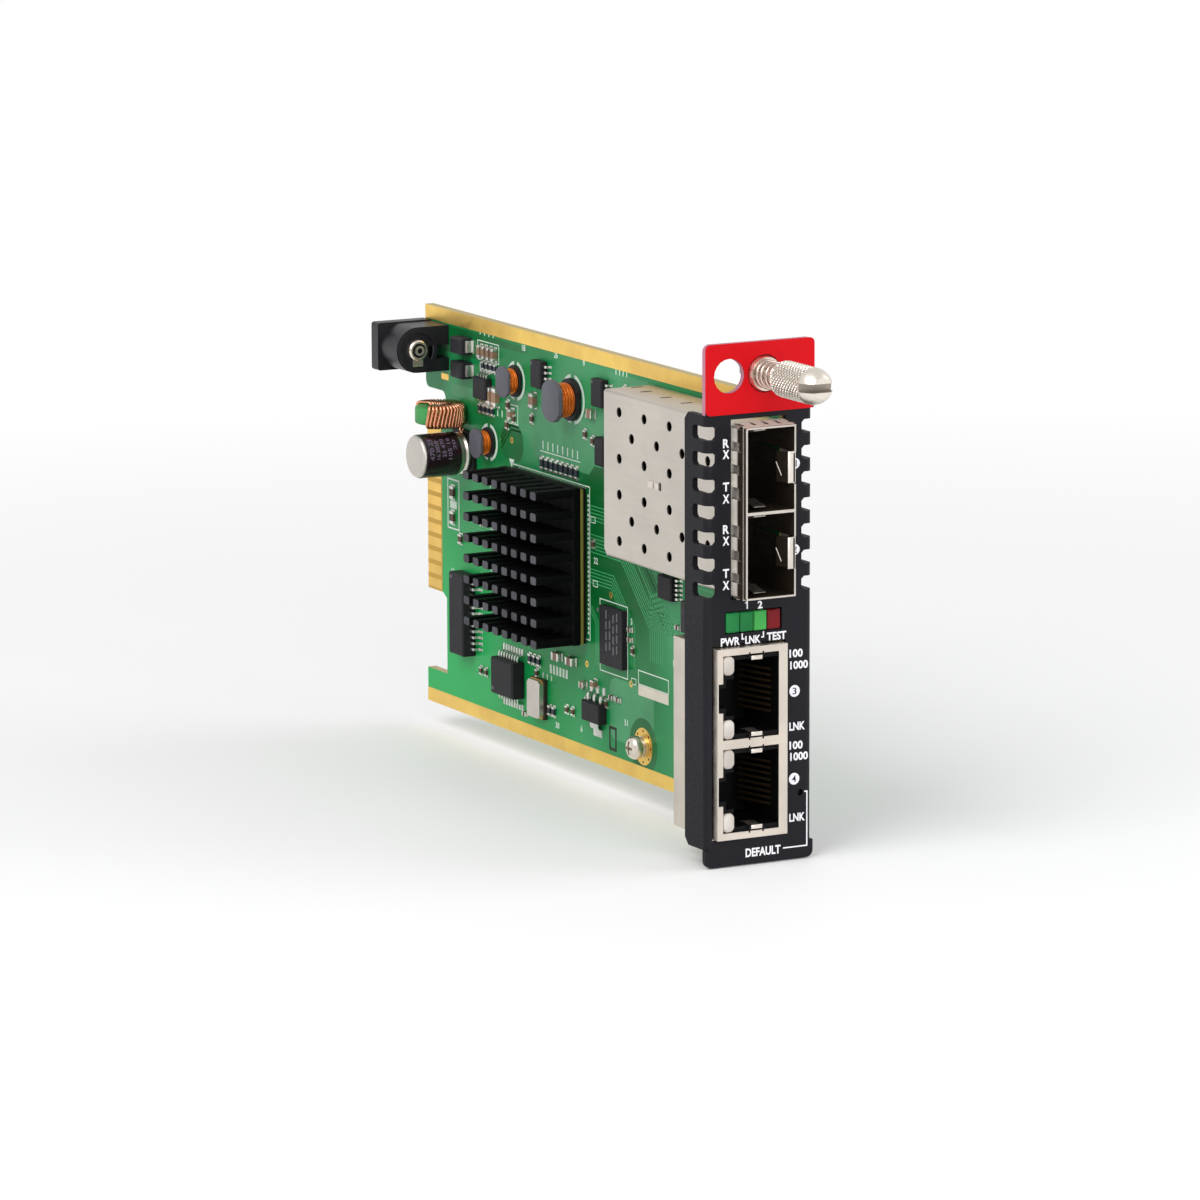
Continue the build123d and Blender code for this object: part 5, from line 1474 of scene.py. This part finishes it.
# Marks moulded or printed on the packages
def make_package_marks():
    """Pin-one dots and plain pale bars."""
    bm = bmesh.new()
    for back, up, lift, radius in [(63.3, 32.4, 1.1, 0.35), (100.6, 12.2, 2.6, 0.4), (116.6, 30.0, 2.7, 0.35),
                                   (87.0, 72.8, 1.55, 0.28), (64.4, 72.5, 1.55, 0.28)]:
        add_prism(bm, on_board(back, up, lift), circle(radius, 20), 0.015)
    for row, (top, low) in enumerate([(32.0, 25.0), (31.6, 24.4), (30.4, 26.2), (32.0, 24.8)]):
        back = 56.4 + row * 1.3
        length = 1.5
        while top > low:
            add_prism(bm, on_board(back, top, 1.1), rounded(0.45, length, 0.1, 2), 0.01)
            top -= length + 0.4
    for index in range(5):
        add_prism(bm, on_board(115.6, 28.6 - index * 1.9, 2.6), rounded(0.8, 1.2, 0.1, 2), 0.01)
    piece("package_marks", bm, [epoxy_mark])


make_package_marks()


def make_oscillator_rim():
    """Gold seam under the oscillator's can."""
    bm = bmesh.new()
    add_prism(bm, on_board(86.9, 12.5, 0.7), rounded(4.6, 7.1, 0.6), 0.2)
    piece("oscillator_rim", bm, [bright_gold])


make_oscillator_rim()


# Floor, light and camera
def make_floor():
    """Pale floor that fades to white away from the card."""
    low = cad_box[0].z - 0.0002
    reach = 30.0
    mesh = bpy.data.meshes.new("floor")
    mesh.from_pydata([(-reach, -reach, low), (reach, -reach, low), (reach, reach, low),
                      (-reach, reach, low)], [],
                     [(0, 1, 2, 3)])
    floor = bpy.data.objects.new("floor", mesh)
    bpy.context.collection.objects.link(floor)
    nodes = Nodes("floor_pale")
    patches = nodes.noise(9, 2.0)
    colour = nodes.ramp(patches, [(0.3, (0.92, 0.92, 0.925, 1)), (0.7, (0.94, 0.94, 0.945, 1))])
    nodes.link(colour, nodes.shader.inputs["Base Color"])
    nodes.shader.inputs["Roughness"].default_value = 0.6
    distance = nodes.add("ShaderNodeVectorMath", operation="LENGTH")
    nodes.link(nodes.position, distance.inputs[0])
    far = nodes.span(distance.outputs["Value"], 0.16, 0.5)
    glow = nodes.add("ShaderNodeEmission")
    blend = nodes.add("ShaderNodeMixShader")
    output = nodes.tree.nodes["Material Output"]
    nodes.link(far, blend.inputs["Fac"])
    nodes.link(nodes.shader.outputs["BSDF"], blend.inputs[1])
    nodes.link(glow.outputs["Emission"], blend.inputs[2])
    nodes.link(blend.outputs["Shader"], output.inputs["Surface"])
    mesh.materials.append(nodes.material)


def make_world():
    """White to the eye and, but for a greyer patch round the camera, to gloss; gentler as light."""
    world = bpy.data.worlds.new("studio")
    bpy.context.scene.world = world
    world.use_nodes = True
    tree = world.node_tree
    nodes = tree.nodes
    background = nodes["Background"]
    background.inputs["Color"].default_value = (1, 1, 1, 1)
    background.inputs["Strength"].default_value = 0.5
    towards = nodes.new("ShaderNodeVectorMath")
    towards.operation = "DOT_PRODUCT"
    towards.inputs[1].default_value = Vector((-0.47, -0.86, 0.1)).normalized()
    patch = nodes.new("ShaderNodeMapRange")
    for key, number in (("From Min", 0.35), ("From Max", 0.85), ("To Min", 1.0), ("To Max", 0.4)):
        patch.inputs[key].default_value = number
    paths = nodes.new("ShaderNodeLightPath")
    shown = nodes.new("ShaderNodeMath")
    shown.operation = "MAXIMUM"
    seen = nodes.new("ShaderNodeBackground")
    either = nodes.new("ShaderNodeMath")
    either.operation = "MAXIMUM"
    blend = nodes.new("ShaderNodeMixShader")
    for source, target in [
        (nodes.new("ShaderNodeTexCoord").outputs["Generated"], towards.inputs[0]),
        (towards.outputs["Value"], patch.inputs["Value"]),
        (patch.outputs["Result"], shown.inputs[0]),
        (paths.outputs["Is Camera Ray"], shown.inputs[1]),
        (shown.outputs[0], seen.inputs["Strength"]),
        (paths.outputs["Is Camera Ray"], either.inputs[0]),
        (paths.outputs["Is Glossy Ray"], either.inputs[1]),
        (either.outputs[0], blend.inputs["Fac"]),
        (background.outputs["Background"], blend.inputs[1]),
        (seen.outputs["Background"], blend.inputs[2]),
        (blend.outputs["Shader"], nodes["World Output"].inputs["Surface"]),
    ]:
        tree.links.new(source, target)


def make_light(name, place, aim, size, power):
    """A soft square lamp that looks at a point."""
    data = bpy.data.lights.new(name, "AREA")
    data.shape = "SQUARE"
    data.size = size
    data.energy = power
    lamp = bpy.data.objects.new(name, data)
    lamp.location = place
    lamp.rotation_mode = "QUATERNION"
    lamp.rotation_quaternion = (Vector(place) - Vector(aim)).to_track_quat("Z", "Y")
    bpy.context.collection.objects.link(lamp)


def make_camera():
    """The photograph's long lens, a little above and to the left of the card."""
    place = Vector((-0.556085, -0.979863, 0.170311))
    aim = Vector((-0.030826, -0.001, -0.035263))
    roll = math.radians(-0.176)
    data = bpy.data.cameras.new("camera")
    data.lens = 206.93
    data.sensor_width = 36
    data.clip_start = 0.05
    data.clip_end = 100
    camera = bpy.data.objects.new("camera", data)
    camera.location = place
    camera.rotation_mode = "QUATERNION"
    camera.rotation_quaternion = (place - aim).to_track_quat("Z", "Y") @ Quaternion((0, 0, 1), roll)
    bpy.context.collection.objects.link(camera)
    bpy.context.scene.camera = camera


make_floor()
make_world()
middle = (0.0, 0.06, -0.04)
make_light("key", (-0.75, -0.25, 0.75), middle, 0.7, 7.5)
make_light("front", (-0.1, -0.95, 0.25), middle, 0.7, 4.0)
make_light("right", (0.8, -0.3, 0.4), middle, 0.8, 3.0)
make_camera()
bpy.context.scene.view_settings.view_transform = "Standard"
